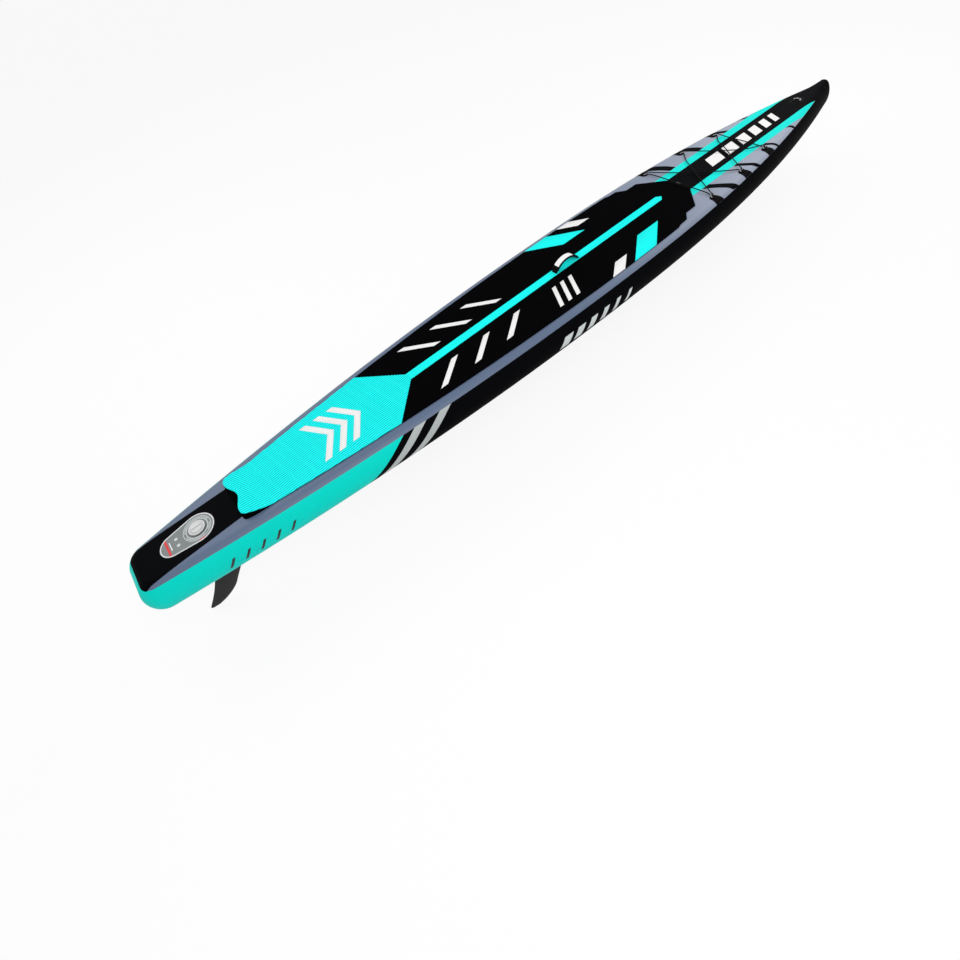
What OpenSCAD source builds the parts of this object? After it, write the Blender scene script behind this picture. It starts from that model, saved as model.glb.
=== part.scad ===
// Inflatable race stand up paddleboard, in millimetres.
// +X runs to the nose, +Y to port and +Z up. The origin lies at mid length on the
// centre line, on the outer face of the bottom band, where the hull would rest.

/* [Board] */
// Length over all
board_l = 4267; // [3900:1:4600]
// Greatest width
board_w = 584; // [560:1:720]
// Thickness of the inflated hull
board_t = 152; // [130:1:180]
// How far ahead of mid length the board is widest
wide_x = 109; // [0:1:200]
// Width of the tail before its corners are rounded
tail_w = 232; // [220:1:300]
// Radius of the tail corners in plan
tail_r = 62; // [60:1:90]
// Width of the bow before it is rounded
nose_w = 64; // [58:1:90]
// How full the outline is behind its widest place
tail_power = 2.1; // [1.9:0.05:2.6]
// How full the outline is ahead of its widest place
nose_power = 2.25; // [2:0.05:2.6]
// How far the rounded rail reaches in from the side
rail_in = 57; // [50:1:59]
// How far the nose tip rises
nose_rise = 9; // [0:1:20]
// Length of the rising nose
nose_rise_l = 180; // [120:5:185]

/* [Skins and seams] */
// Thickness of the deck and bottom skins
skin_t = 1.2; // [0.8:0.1:2]
// Thickness of the side wall
wall_t = 1.6; // [1:0.1:3]
// Thickness of the turquoise wrap around the tail
wrap_t = 0.9; // [0.5:0.1:1.5]
// Glue line under a piece that follows the hull
glue_t = 0.3; // [0.3:0.05:0.6]
// Angle up the rail at which the deck skin meets the side wall
deck_seam = 56; // [45:1:62]
// Angle down the rail at which the bottom skin meets the side wall
bottom_seam = 51; // [45:1:60]
// Thickness of the seam tape inside the hull
tape_t = 0.8; // [0.5:0.1:1.5]
// Length of the tail wrap at mid height, starboard
wrap_l_starboard = 898.5; // [750:0.5:1050]
// Length of the tail wrap at mid height, port
wrap_l_port = 798.5; // [650:0.5:950]
// How far the end of the tail wrap leans forward for each degree up the rail
wrap_lean = 2; // [0:0.1:3]

/* [Threads inside] */
// Radius of one bundle of drop threads
thread_r = 1; // [0.5:0.1:2]
// Distance between thread bundles along the board
thread_step_x = 150; // [120:5:300]
// Distance between thread bundles across the board
thread_step_y = 80; // [60:5:120]
// Free space between the threads and the valve
thread_clear = 24; // [10:1:60]

/* [Bands] */
// Thickness of the centre bands
band_t = 0.8; // [0.5:0.1:1.5]
// Width of the black band on the tail deck
tail_band_w = 162; // [140:1:176]
// Width of the black band on the nose deck
nose_band_w = 146; // [120:1:160]
// Distance of the nose deck's black band from the nose end
nose_band_back = 418.5; // [400:0.5:600]
// Width of the black band under the board
bottom_band_w = 152; // [120:1:160]
// Distance of the bottom band's front end from the nose end
bottom_band_back = 443.5; // [420:0.5:700]

/* [Deck pad] */
// Thickness of the black foam layer under the pad
pad_base_t = 2; // [1:0.1:4]
// Thickness of the coloured foam layer of the pad
pad_top_t = 3.5; // [2:0.1:6]
// Distance of the pad's front edge from the nose end
pad_front_back = 1368.5; // [1340:0.5:1420]
// Distance of the pad's rear edge from the tail end
pad_rear_in = 406.5; // [375:0.5:480]
// Gap between the pad edge and the rail at the widest place
pad_margin = 1; // [0.5:0.1:10]
// Extra gap between the pad edge and the rail at the rear
pad_margin_tail = 11; // [0:1:15]
// Depth of the notch between the two rear lobes
lobe_notch = 22; // [10:1:40]
// Distance of each rear lobe from the centre line
lobe_y = 72; // [60:1:80]
// How far the sloping rear sides of the pad run forward
lobe_run = 98; // [60:1:140]
// How far the black layer shows behind the lobes
base_lip = 4; // [1:1:10]
// Height of the raised rear end of the pad
kick_h = 22; // [12:1:30]
// Length of the slope up to the raised rear end
kick_l = 116; // [90:1:140]
// Gap around each foam inlay
inlay_gap = 0.3; // [0.1:0.05:1]
// Place where the turquoise tail pad ends at its sides
chevron_rear = -1098; // [-1140:1:-1040]
// Place where the turquoise tail pad ends at the centre stripe
chevron_front = -942; // [-980:1:-920]
// Width of the centre stripe
stripe_w = 40; // [24:1:50]
// Front tip of the centre stripe
stripe_tip = 638; // [600:1:660]
// Length of the stripe's pointed end
stripe_point = 22; // [10:1:40]

/* [Dashes and flashes] */
// Number of white dashes on each side
dash_n = 3; // [1:1:3]
// Outer rear corner of the rearmost dash
dash_x = -891; // [-905:1:-860]
// Distance from one dash to the next
dash_step = 174; // [150:1:190]
// Distance of the dashes' outer ends from the centre line
dash_out = 159; // [140:1:170]
// Distance of the dashes' inner ends from the centre line
dash_in = 60; // [45:1:80]
// Length of each dash along the board
dash_w = 36; // [20:1:50]
// How far a dash runs forward between its ends
dash_run = 128; // [80:1:150]
// Outer rear corner of the turquoise flash on the port side
flash_port_x = -83; // [-120:1:-60]
// Outer rear corner of the turquoise flash on the starboard side
flash_starboard_x = 165; // [150:1:220]
// How far the turquoise flashes reach in from the pad's side
flash_reach = 115; // [90:1:130]
// Length of a turquoise flash along the board
flash_w = 146; // [100:1:150]
// Outer rear corner of the white flash on the port side
white_port_x = 137; // [120:1:200]
// Outer rear corner of the white flash on the starboard side
white_starboard_x = 19; // [-20:1:40]
// How far the white flashes reach in from the pad's side
white_reach = 64; // [40:1:75]
// Length of a white flash along the board
white_w = 78; // [40:1:90]
// How far the flashes run forward for each millimetre inwards
flash_lean = 1.32; // [1:0.02:1.4]

/* [Plain marks in the pad] */
// Number of chevrons in the tail pad
mark_n = 3; // [1:1:4]
// Rear end of the rearmost chevron
mark_x = -1400; // [-1440:1:-1380]
// Distance from one chevron to the next
mark_step = 62; // [50:1:70]
// Distance of a chevron's arms' ends from the centre line
mark_y = 110; // [80:1:120]
// How far a chevron's point runs ahead of its arms' ends
mark_run = 70; // [40:1:80]
// Length of a chevron's arm along the board
mark_w = 30; // [15:1:40]
// Number of white bars beside the centre stripe
bar_n = 3; // [1:1:4]
// Rear end of the rearmost bar
bar_x = -262; // [-290:1:-240]
// Distance from one bar to the next
bar_step = 50; // [40:1:60]
// Distance of the bars' inner ends from the centre line
bar_in = 70; // [60:1:90]
// Distance of the bars' outer ends from the centre line
bar_out = 190; // [150:1:195]
// Length of a bar along the board
bar_w = 22; // [10:1:30]
// How far a bar runs forward between its ends
bar_run = 66; // [40:1:90]

/* [Carry handle] */
// Middle of the handle
handle_x = -38; // [-60:1:0]
// Length of the handle's arch where it leaves the pad
handle_l = 147; // [136:1:160]
// Height of the webbing above the pad
handle_h = 42; // [38:1:48]
// Width of the webbing
webbing_w = 32; // [26:1:34]
// Thickness of the webbing
webbing_t = 2.5; // [2:0.1:2.8]
// Thickness of the soft grip around the webbing
grip_t = 3; // [2:0.5:4]
// How far the grip's side walls stand out past the webbing
grip_side = 3; // [2:0.5:5]
// Height above the pad at which the grip starts
grip_start = 10; // [8:1:14]
// Length of the white panel on the grip
panel_l = 112; // [90:1:116]
// Width of the white panel on the grip
panel_w = 34; // [20:1:36]
// Thickness of the white panel
panel_t = 0.8; // [0.6:0.1:1.5]
// Length of each anchor patch under the pad
anchor_l = 44; // [36:1:50]
// Width of each anchor patch
anchor_w = 56; // [50:1:70]
// Thickness of each anchor patch
anchor_t = 1; // [0.8:0.1:1.4]
// Length of the foot sewn to each anchor patch
foot_l = 26; // [16:1:30]
// Gap around the webbing and its anchors in the pad
pocket_gap = 0.3; // [0.2:0.1:0.5]

/* [Rings and bungee] */
// Rear pair of bungee anchors
bungee_rear_x = 768; // [767:1:771]
// Middle pair of bungee anchors
bungee_mid_x = 1035; // [1033:1:1037]
// Front pair of bungee anchors
bungee_front_x = 1280; // [1278:1:1282]
// How far each ring bar lies in from the rounded rail
ring_in = 8; // [7:0.5:9]
// Radius of a bungee ring to its wire's middle
ring_r = 14; // [13.5:0.5:15]
// Radius of the ring wire
wire_r = 1.9; // [1.5:0.1:2.1]
// How far a ring's bar is thicker than its wire
bar_extra = 0.2; // [0.1:0.05:0.4]
// How far a bungee ring is pulled up, in degrees
ring_tilt = 25; // [22:1:28]
// Length of the webbing loop on the ring bar
loop_w = 20; // [12:1:22]
// Thickness of the webbing loop
loop_t = 1.2; // [0.8:0.1:1.6]
// Clearance between a loop and its ring bar
loop_gap = 0.2; // [0.1:0.05:0.3]
// How far a loop's tail runs back from the bar
loop_tail = 14; // [8:1:15]
// Thickness of a ring patch
patch_t = 1; // [0.6:0.1:1.6]
// Width of a bungee patch beside its ring
patch_top_w = 34; // [30:1:44]
// Width of a bungee patch at the seam
patch_low_w = 62; // [44:1:80]
// How far a bungee patch reaches in past the ring bar
patch_reach = 12; // [8:1:20]
// Radius of the bungee cord
cord_r = 2.5; // [2:0.1:2.6]
// Length of the sleeve that joins the cord's ends
joiner_l = 22; // [14:1:30]
// Wall of the sleeve that joins the cord's ends
joiner_wall = 1; // [0.6:0.1:2]
// Clearance between the sleeve and the cord
joiner_gap = 0.3; // [0.2:0.05:0.5]
// Distance of the nose ring's bar from the nose end
nose_ring_back = 311.5; // [303:0.5:340]
// Radius of the nose ring to its wire's middle
nose_ring_r = 19; // [16:0.5:22]
// Radius of the nose ring's wire
nose_wire_r = 2.3; // [2:0.1:2.6]
// Length of the nose patch
nose_patch_l = 92; // [86:1:100]
// Width of the nose patch
nose_patch_w = 72; // [60:1:80]

/* [Valve] */
// Distance of the valve from the tail end
valve_in = 260.5; // [253:0.5:268]
// Radius of the valve's flange
flange_r = 32; // [30:0.5:36]
// Thickness of the valve's flange
flange_t = 2.5; // [1.5:0.1:4]
// Radius of the valve's throat
throat_r = 13; // [12:0.5:14]
// Wall of the valve's barrel
barrel_wall = 4.5; // [3:0.1:6]
// Length of the barrel below the flange
barrel_l = 30; // [26:1:36]
// Height of the neck above the flange
neck_h = 4; // [3:0.5:7]
// Wall of the neck
neck_wall = 6; // [5:0.5:7]
// Clearance between the barrel and the pieces around it
barrel_gap = 0.3; // [0.1:0.05:0.5]
// Radius of the nut inside
nut_r = 29; // [26:0.5:36]
// Thickness of the nut inside
nut_t = 7; // [5:0.5:10]
// Thickness of the gasket
gasket_t = 1.5; // [1:0.1:3]
// Radius of the plunger's stem
stem_r = 3; // [2.5:0.1:3.5]
// Clearance between the stem and its guide
stem_gap = 0.08; // [0.05:0.01:0.2]
// Radius of the stem's guide
guide_r = 6; // [5.5:0.1:7]
// Thickness of the guide and its ribs
guide_t = 5; // [3:0.5:7]
// Height of the guide above the barrel's lower end
guide_up = 8; // [6:0.5:9]
// Width of the guide's ribs
rib_w = 2.4; // [1.5:0.1:4]
// Number of ribs that hold the guide
rib_n = 4; // [3:1:6]
// Radius of the plunger's sealing disc
disc_r = 16; // [15:0.5:17]
// Thickness of the plunger's sealing disc
disc_t = 3; // [2:0.5:5]
// Clearance between the sealing disc and its seat
disc_gap = 0.2; // [0.1:0.05:0.5]
// Radius of the plunger's button
button_r = 7.2; // [6.6:0.1:8.5]
// Thickness of the plunger's button
button_t = 2; // [1.5:0.1:3]
// How far the button lies below the neck's rim
button_down = 9; // [8:0.5:11]
// Radius of the spring's coil
spring_r = 5; // [4.6:0.1:5.6]
// Radius of the spring's wire
spring_wire = 0.6; // [0.4:0.1:0.8]
// Number of turns in the spring
spring_n = 5; // [4:1:7]
// Clearance at each end of the spring
spring_gap = 0.1; // [0.1:0.05:0.3]
// Wall of the cap
cap_wall = 4; // [2:0.5:6]
// Thickness of the cap's top
cap_top = 3; // [2:0.5:5]
// Clearance between the cap and the neck
cap_gap = 0.4; // [0.2:0.05:0.8]
// Thickness of the cap's seal
seal_t = 1.2; // [0.8:0.1:2]
// How far the cap's brim lies in from the flange's edge
cap_brim_in = 2; // [1:0.5:5]
// Thickness of the cap's brim
cap_brim_t = 2.5; // [1.5:0.1:4]
// Height of the cap's finger bar
grip_bar_h = 4; // [2:0.5:6]
// Width of the cap's finger bar
grip_bar_w = 7; // [5:0.5:10]
// Thickness of the plate around the valve
plate_t = 1; // [0.6:0.1:2]
// Radius of the plate's large end
plate_r = 62; // [50:1:70]
// Radius of the plate's small end
plate_tail_r = 47; // [35:1:60]
// Distance between the centres of the plate's two ends
plate_l = 90; // [70:1:110]

/* [Panel under the board] */
// Distance of the plain panel from the tail end
panel_in = 557.5; // [530:0.5:580]
// Length of the plain panel
panel_len = 158; // [120:1:180]

/* [Fin box] */
// Distance of the fin box's middle from the tail end
box_in = 315.5; // [295:0.5:330]
// Length of solid box past each end of the slot
box_end = 10; // [8:0.5:20]
// Width of the raised box
box_w = 44; // [36:1:56]
// Depth of the raised box
box_h = 15; // [15:0.5:20]
// How far the patch reaches past each end of the flange
box_patch_end = 7; // [4:0.5:20]
// Width of the patch under the fin box
box_patch_w = 130; // [110:1:140]
// How far the flange reaches past each end of the box
box_flange_end = 5; // [3:0.5:12]
// Width of the box's flange
box_flange_w = 84; // [70:1:96]
// Thickness of the box's flange
box_flange_t = 2; // [1:0.1:3]
// Length of the slot in front of the fin's base at rest
slot_ahead = 22; // [16:0.5:30]
// Length of the slot behind the fin's base at rest
slot_behind = 20; // [14:0.5:30]
// Thickness of the box above the slot
slot_roof = 2; // [1:0.1:2.5]
// Width of the groove for the pin and the nut plate
groove_w = 15.4; // [14:0.1:18]
// Height of the groove
groove_h = 5.4; // [5.2:0.1:6]
// Depth of the groove's upper face below the slot's roof
groove_down = 1.2; // [0.8:0.1:1.6]

/* [Fin] */
// Length of the fin's base
fin_base_l = 284; // [280:1:286]
// Depth of the fin below the box
fin_depth = 242; // [180:1:280]
// Thickness of the fin's base
fin_base_t = 9; // [8:0.1:10]
// Clearance between the fin's base and the slot on each side
slot_gap = 0.3; // [0.2:0.05:0.6]
// Clearance between the fin's blade and the box
blade_gap = 0.3; // [0.2:0.05:0.6]
// Thickness of the blade at its root
blade_t = 8.4; // [6:0.1:8.6]
// Thickness of the blade at its tip
blade_tip_t = 3; // [2:0.1:5]
// Length of the thin lug for the screw
lug_l = 23; // [20:1:26]
// Thickness of the lug
lug_t = 3.2; // [2.5:0.1:3.6]
// Radius of the rear pin
pin_r = 2.35; // [2:0.05:2.5]
// Distance of the pin from the base's rear end
pin_in = 16; // [8:1:24]
// Clearance between the pin and its hole
pin_gap = 0.02; // [0.01:0.01:0.05]
// Radius of the screw's shank
screw_r = 2; // [1.6:0.1:2.4]
// Radius of the screw's head
screw_head_r = 4; // [3.5:0.1:4.3]
// Thickness of the screw's head
screw_head_t = 2.4; // [1.6:0.1:2.6]
// Clearance around the screw's shank
screw_gap = 0.05; // [0.02:0.01:0.1]
// Distance of the screw from the base's front end
screw_in = 11; // [9:1:13]
// Length of the nut plate
nut_plate_l = 13; // [10:0.5:16]
// Thickness of the nut plate
nut_plate_t = 3.2; // [2.4:0.1:3.6]
// Clearance of the nut plate and the pin in the groove
groove_gap = 0.4; // [0.2:0.05:0.6]

/* [Hidden] */
$fn = 48;
end_x = board_l / 2;
pad_front = end_x - pad_front_back;
pad_rear = pad_rear_in - end_x;
nose_band_end = end_x - nose_band_back;
bottom_band_end = end_x - bottom_band_back;
nose_ring_x = end_x - nose_ring_back;
valve_x = valve_in - end_x;
panel_rear = panel_in - end_x;
box_x = box_in - end_x;
slot_l = fin_base_l + slot_ahead + slot_behind;
box_l = slot_l + 2 * box_end;
box_flange_l = box_l + 2 * box_flange_end;
box_patch_l = box_flange_l + 2 * box_patch_end;
fin_rear = box_x - slot_l / 2 + slot_behind;
skin_z = band_t;
mid_z = skin_z + board_t / 2;
deck_z = skin_z + board_t;
pad_z = deck_z + pad_base_t + pad_top_t;
tail_half = tail_w / 2;
nose_half = nose_w / 2;
// Stations along each side: close together at the rounded ends, wide apart between them.
end_steps = 5;
side_steps = 24;
tail_x = [for (i = [0 : end_steps]) -end_x + tail_r * (1 - cos(90 * i / end_steps))];
nose_x = [for (i = [end_steps : -1 : 0]) end_x - nose_half * (1 - cos(90 * i / end_steps))];
side_x = [for (i = [1 : side_steps - 1])
    (tail_r - end_x) + (board_l - tail_r - nose_half) * i / side_steps];
all_x = concat(tail_x, side_x, nose_x);
// Angles up the rail at which the skins and walls have their rows of points.
skin_steps = 3;
wall_steps = 6;

// ---------------------------------------------------------------- hull surface

function clamp01(t) = min(max(t, 0), 1);

// Half width of the outline before its ends are rounded.
function full_half(x) = x < wide_x
    ? board_w / 2 - (board_w / 2 - tail_half) * pow((wide_x - x) / (wide_x + end_x), tail_power)
    : board_w / 2 - (board_w / 2 - nose_half) * pow((x - wide_x) / (end_x - wide_x), nose_power);

// How much a rounded end of radius r takes off the half width at a distance d from the end.
function end_cut(d, r) = d >= r ? 0 : r * (1 - sqrt(1 - pow(1 - max(d, 0) / r, 2)));

function half_w(x) = full_half(x) - end_cut(x + end_x, tail_r) - end_cut(end_x - x, nose_half);

function edge_slope(x) = (half_w(x + 0.5) - half_w(x - 0.5)) / 1;

function rise_at(x) = nose_rise * pow(clamp01((x - end_x + nose_rise_l) / nose_rise_l), 2);

// A station is [x, y, outward normal x, outward normal y, reach of the rail].
function rail_reach(x) = min(rail_in, 0.9 * max(half_w(x), nose_half));
function side_station(x, side) = x > end_x - 0.01 ? nose_station
    : x < 0.01 - end_x ? [-end_x, side * half_w(-end_x), -1, 0, rail_in]
    : let (s = edge_slope(x), n = sqrt(1 + s * s))
        [x, side * half_w(x), -s / n, side / n, rail_reach(x)];
nose_station = [end_x, 0, 1, 0, 0.9 * nose_half];
tail_station = [-end_x, 0, -1, 0, rail_in];

// A point of the rail at an angle up from its middle, moved in by an inset.
function rail_point(s, angle, inset) =
    let (d = inset + (s[4] - inset) * (1 - cos(angle)), x = s[0] - s[2] * d)
    [x, s[1] - s[3] * d, mid_z + (board_t / 2 - inset) * sin(angle) + rise_at(x)];

// A point of the deck at a distance d in from the outline, lifted off the skin.
function deck_point(s, d, lift) = d < s[4] ? rail_point(s, acos(1 - d / s[4]), -lift)
    : let (x = s[0] - s[2] * d) [x, s[1] - s[3] * d, deck_z + lift + rise_at(x)];

// ---------------------------------------------------------------- builders

function flat(rows) = [for (row = rows) each row];

// A closed sheet between two grids of points with the same rows and columns.
module sheet(outer, inner) {
    rows = len(outer);
    cols = len(outer[0]);
    n = rows * cols;
    quads = [for (i = [0 : rows - 2], j = [0 : cols - 2])
        [i * cols + j, (i + 1) * cols + j, (i + 1) * cols + j + 1, i * cols + j + 1]];
    border = concat(
        [for (j = [0 : cols - 2]) [j, j + 1]],
        [for (i = [0 : rows - 2]) [i * cols + cols - 1, (i + 1) * cols + cols - 1]],
        [for (j = [cols - 1 : -1 : 1]) [(rows - 1) * cols + j, (rows - 1) * cols + j - 1]],
        [for (i = [rows - 1 : -1 : 1]) [i * cols, (i - 1) * cols]]);
    polyhedron(concat(flat(outer), flat(inner)), concat(
        flat([for (q = quads) [[q[0], q[1], q[2]], [q[0], q[2], q[3]]]]),
        flat([for (q = quads) [[n + q[2], n + q[1], n + q[0]], [n + q[3], n + q[2], n + q[0]]]]),
        flat([for (e = border) [[e[0], e[1], n + e[1]], [e[0], n + e[1], n + e[0]]]])));
}

// A skin that runs in from its seam over the rail and closes across the middle.
module skin(angles, inset0, inset1) {
    stations = concat([for (x = all_x) side_station(x, -1)],
        [for (i = [len(all_x) - 2 : -1 : 0]) side_station(all_x[i], 1)]);
    m = len(stations);
    k = len(angles);
    n = m * k;
    rings = function (inset) flat([for (a = angles) [for (s = stations) rail_point(s, a, inset)]]);
    wall = [for (j = [0 : k - 2], i = [0 : m - 1])
        let (a = j * m + i, b = j * m + (i + 1) % m) [a, b, b + m, a + m]];
    last = (k - 1) * m;
    cap = [for (i = [0 : (m - 1) / 2 - 2]) [last + i, last + i + 1, last + m - 2 - i, last + m - 1 - i]];
    tip = [last + (m - 1) / 2 - 1, last + (m - 1) / 2, last + (m - 1) / 2 + 1];
    out = concat(flat([for (q = concat(wall, cap)) [[q[0], q[2], q[1]], [q[0], q[3], q[2]]]]),
        [[tip[0], tip[2], tip[1]]]);
    rim = flat([for (i = [0 : m - 1]) let (j = (i + 1) % m) [[i, j, n + j], [i, n + j, n + i]]]);
    back = [for (f = out) [n + f[2], n + f[1], n + f[0]]];
    polyhedron(concat(rings(inset0), rings(inset1)), concat(out, back, rim));
}

// A tube of radius r through a closed or open list of points.
function unit(v) = v / norm(v);
module tube(points, r, sides, closed = false) {
    n = len(points);
    at = function (i) points[closed ? (i + n) % n : min(max(i, 0), n - 1)];
    rings = [for (i = [0 : n - 1])
        let (t = unit(at(i + 1) - at(i - 1)), u = unit(cross([0, 0, 1], t)), v = cross(t, u))
        [for (k = [0 : sides - 1]) points[i] + r * (cos(360 * k / sides) * u + sin(360 * k / sides) * v)]];
    spans = closed ? n : n - 1;
    walls = [for (i = [0 : spans - 1], k = [0 : sides - 1])
        let (a = i * sides + k, b = i * sides + (k + 1) % sides,
             c = ((i + 1) % n) * sides + (k + 1) % sides, d = ((i + 1) % n) * sides + k) [d, c, b, a]];
    ends = closed ? [] : [[for (k = [0 : sides - 1]) k],
        [for (k = [sides - 1 : -1 : 0]) (n - 1) * sides + k]];
    polyhedron(flat(rings), concat(flat([for (q = walls) [[q[0], q[1], q[2]], [q[0], q[2], q[3]]]]), ends));
}

module ring_2d(r_out, r_in) {
    difference() {
        circle(r_out);
        circle(r_in);
    }
}

// A slab with round ends along X.
module stadium_2d(l, w) {
    square([l - w, w], center = true);
    for (side = [-1, 1])
        translate([side * (l - w) / 2, 0])
            circle(w / 2);
}

// ---------------------------------------------------------------- skins and walls

module deck_skin() {
    angles = [for (i = [0 : skin_steps]) deck_seam + (90 - deck_seam) * i / skin_steps];
    color([0.55, 0.6, 0.68])
    difference() {
        skin(angles, 0, skin_t);
        translate([valve_x, 0, deck_z - 2 * skin_t])
            cylinder(r = throat_r + barrel_wall + barrel_gap, h = 4 * skin_t);
    }
}

module bottom_skin() {
    angles = [for (i = [0 : skin_steps]) -bottom_seam - (90 - bottom_seam) * i / skin_steps];
    color([0.3, 0.34, 0.37])
        mirror([0, 1, 0])
            skin(angles, 0, skin_t);
}

wall_lift = 0.3;
wall_angles = [for (i = [0 : wall_steps])
    wall_lift - bottom_seam + (deck_seam + bottom_seam - 2 * wall_lift) * i / wall_steps];

module side_wall(side) {
    ahead = concat([tail_station], [for (x = all_x) side_station(x, side)]);
    stations = side < 0 ? ahead : [for (i = [len(ahead) - 1 : -1 : 0]) ahead[i]];
    grid = function (inset) [for (s = stations) [for (a = wall_angles) rail_point(s, a, inset)]];
    color([0.04, 0.04, 0.045])
        sheet(grid(wall_t), grid(0));
}

module side_wall_port() { side_wall(1); }
module side_wall_starboard() { side_wall(-1); }

// The wrap runs from its slanted end on one side around the tail to the other side.
wrap_steps = 9;
function wrap_row(side, x_mid) = [for (i = [0 : wrap_steps - 1]) [side, x_mid, i / wrap_steps]];
function wrap_place(c, a) = side_station(
    (1 - c[2]) * (c[1] + wrap_lean * a) + c[2] * (tail_r - end_x), c[0]);
module tail_wrap() {
    corner = [for (i = [end_steps : -1 : 0]) side_station(tail_x[i], -1)];
    other = [for (x = tail_x) side_station(x, 1)];
    starboard = wrap_row(-1, wrap_l_starboard - end_x);
    port = wrap_row(1, wrap_l_port - end_x);
    grid = function (inset) concat(
        [for (c = starboard) [for (a = wall_angles) rail_point(wrap_place(c, a), a, inset)]],
        [for (s = concat(corner, [tail_station], other)) [for (a = wall_angles) rail_point(s, a, inset)]],
        [for (i = [len(port) - 1 : -1 : 0])
            [for (a = wall_angles) rail_point(wrap_place(port[i], a), a, inset)]]);
    color([0.05, 0.85, 0.8])
        sheet(grid(-glue_t - wrap_t), grid(-glue_t));
}

// A tape lies inside the hull along a seam, with its rows of points behind the walls' and skins' own.
module seam_tape(angles) {
    stations = concat([tail_station], [for (x = all_x) side_station(x, -1)],
        [for (i = [len(all_x) - 2 : -1 : 0]) side_station(all_x[i], 1)]);
    base = max(skin_t, wall_t) + glue_t;
    grid = function (inset) [for (s = stations) [for (a = angles) rail_point(s, a, inset)]];
    color([0.75, 0.75, 0.72])
        sheet(grid(base + tape_t), grid(base));
}

module deck_seam_tape() {
    seam_tape([wall_angles[wall_steps - 1], deck_seam, deck_seam + (90 - deck_seam) / skin_steps]);
}

module bottom_seam_tape() {
    seam_tape([-bottom_seam - (90 - bottom_seam) / skin_steps, -bottom_seam, wall_angles[1]]);
}

module drop_threads() {
    rows = floor(board_w / 2 / thread_step_y);
    cols = floor(end_x / thread_step_x);
    h = board_t - 2 * skin_t;
    color([0.9, 0.9, 0.86])
        for (i = [-cols : cols], j = [-rows : rows]) {
            x = i * thread_step_x;
            y = j * thread_step_y;
            in_hull = abs(y) < half_w(x) - rail_in - 4 * thread_r
                && x < end_x - nose_rise_l - thread_step_x && x > rail_in + 4 * thread_r - end_x;
            off_valve = norm([x - valve_x, y]) > nut_r + thread_clear;
            if (in_hull && off_valve)
                translate([x, y, skin_z + skin_t])
                    cylinder(r = thread_r, h = h);
        }
}

// ---------------------------------------------------------------- bands and panel

tail_flat_x = -end_x + rail_in + 2;
base_rear = pad_rear - base_lip;

module deck_band_tail() {
    color([0.02, 0.02, 0.025])
        translate([0, 0, deck_z])
            linear_extrude(band_t)
                difference() {
                    translate([tail_flat_x, -tail_band_w / 2])
                        square([base_rear - inlay_gap - tail_flat_x, tail_band_w]);
                    for (side = [-1, 1])
                        tail_corner_cut(side, tail_band_w / 2, tail_flat_x);
                    translate([valve_x, 0])
                        circle(throat_r + barrel_wall + barrel_gap);
                }
}

// The tail corner of a band, cut where the rounded rail begins.
module tail_corner_cut(side, y, x) {
    cut = max(0, y - (half_w(x + tail_r / 2) - rail_in)) + 6;
    polygon([[x - 1, side * (y - cut)], [x + cut, side * (y + 1)], [x - 1, side * (y + 1)]]);
}

module deck_band_nose() {
    start = pad_front + inlay_gap;
    color([0.02, 0.02, 0.025])
        translate([start, -nose_band_w / 2, deck_z])
            cube([nose_band_end - start, nose_band_w, band_t]);
}

panel_front = panel_rear + panel_len;

module bottom_band_front() {
    color([0.02, 0.02, 0.025])
        translate([panel_front + inlay_gap, -bottom_band_w / 2, 0])
            cube([bottom_band_end - panel_front - inlay_gap, bottom_band_w, band_t]);
}

module bottom_band_tail() {
    color([0.02, 0.02, 0.025])
        linear_extrude(band_t)
            difference() {
                translate([tail_flat_x, -bottom_band_w / 2])
                    square([panel_rear - inlay_gap - tail_flat_x, bottom_band_w]);
                for (side = [-1, 1])
                    tail_corner_cut(side, bottom_band_w / 2, tail_flat_x);
            }
}

module bottom_panel() {
    color([0.9, 0.9, 0.9])
        translate([panel_rear, -bottom_band_w / 2, 0])
            cube([panel_len, bottom_band_w, band_t]);
}

// ---------------------------------------------------------------- deck pad

// Half width of the pad: a little inside the place where the rail begins to curve.
function pad_half(x) = half_w(x) - rail_in - pad_margin
    - pad_margin_tail * clamp01((wide_x - x) / (wide_x - pad_rear));

// Steps of the pad's front edge: how far behind the front, and how far in from the pad's side.
front_steps = [[105, 39], [175, 42], [217, 9], [268, 7]];
pad_side_start = 290;

function lobe_edge(y, top) = let (lobe_end = pad_half(pad_rear + lobe_run))
    top ? (y < lobe_y
        ? pad_rear + lobe_notch * (1 + cos(180 * y / lobe_y)) / 2
        : pad_rear + lobe_run * pow((y - lobe_y) / (lobe_end - lobe_y), 4))
    : (y < lobe_y ? base_rear
        : base_rear + (lobe_run + base_lip) * pow((y - lobe_y) / (lobe_end - lobe_y), 6));

pad_edge_steps = 22;
lobe_steps = 28;
function pad_side_points(top) = let (
        lobe_end = pad_half(pad_rear + lobe_run), x0 = pad_rear + lobe_run, x1 = pad_front - pad_side_start)
    concat(
        [for (i = [0 : lobe_steps - 1]) let (y = lobe_end * sin(90 * i / lobe_steps))
            [lobe_edge(y, top), y]],
        [for (i = [0 : pad_edge_steps]) let (x = x0 + (x1 - x0) * i / pad_edge_steps) [x, pad_half(x)]],
        [for (i = [len(front_steps) - 1 : -1 : 0])
            let (x = pad_front - front_steps[i][0]) [x, pad_half(x) - front_steps[i][1]]],
        [[pad_front, nose_band_w / 2 + 1]]);

module pad_outline_2d(top) {
    side = pad_side_points(top);
    polygon(concat(side, [for (i = [len(side) - 1 : -1 : 1]) [side[i][0], -side[i][1]]]));
}

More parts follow.
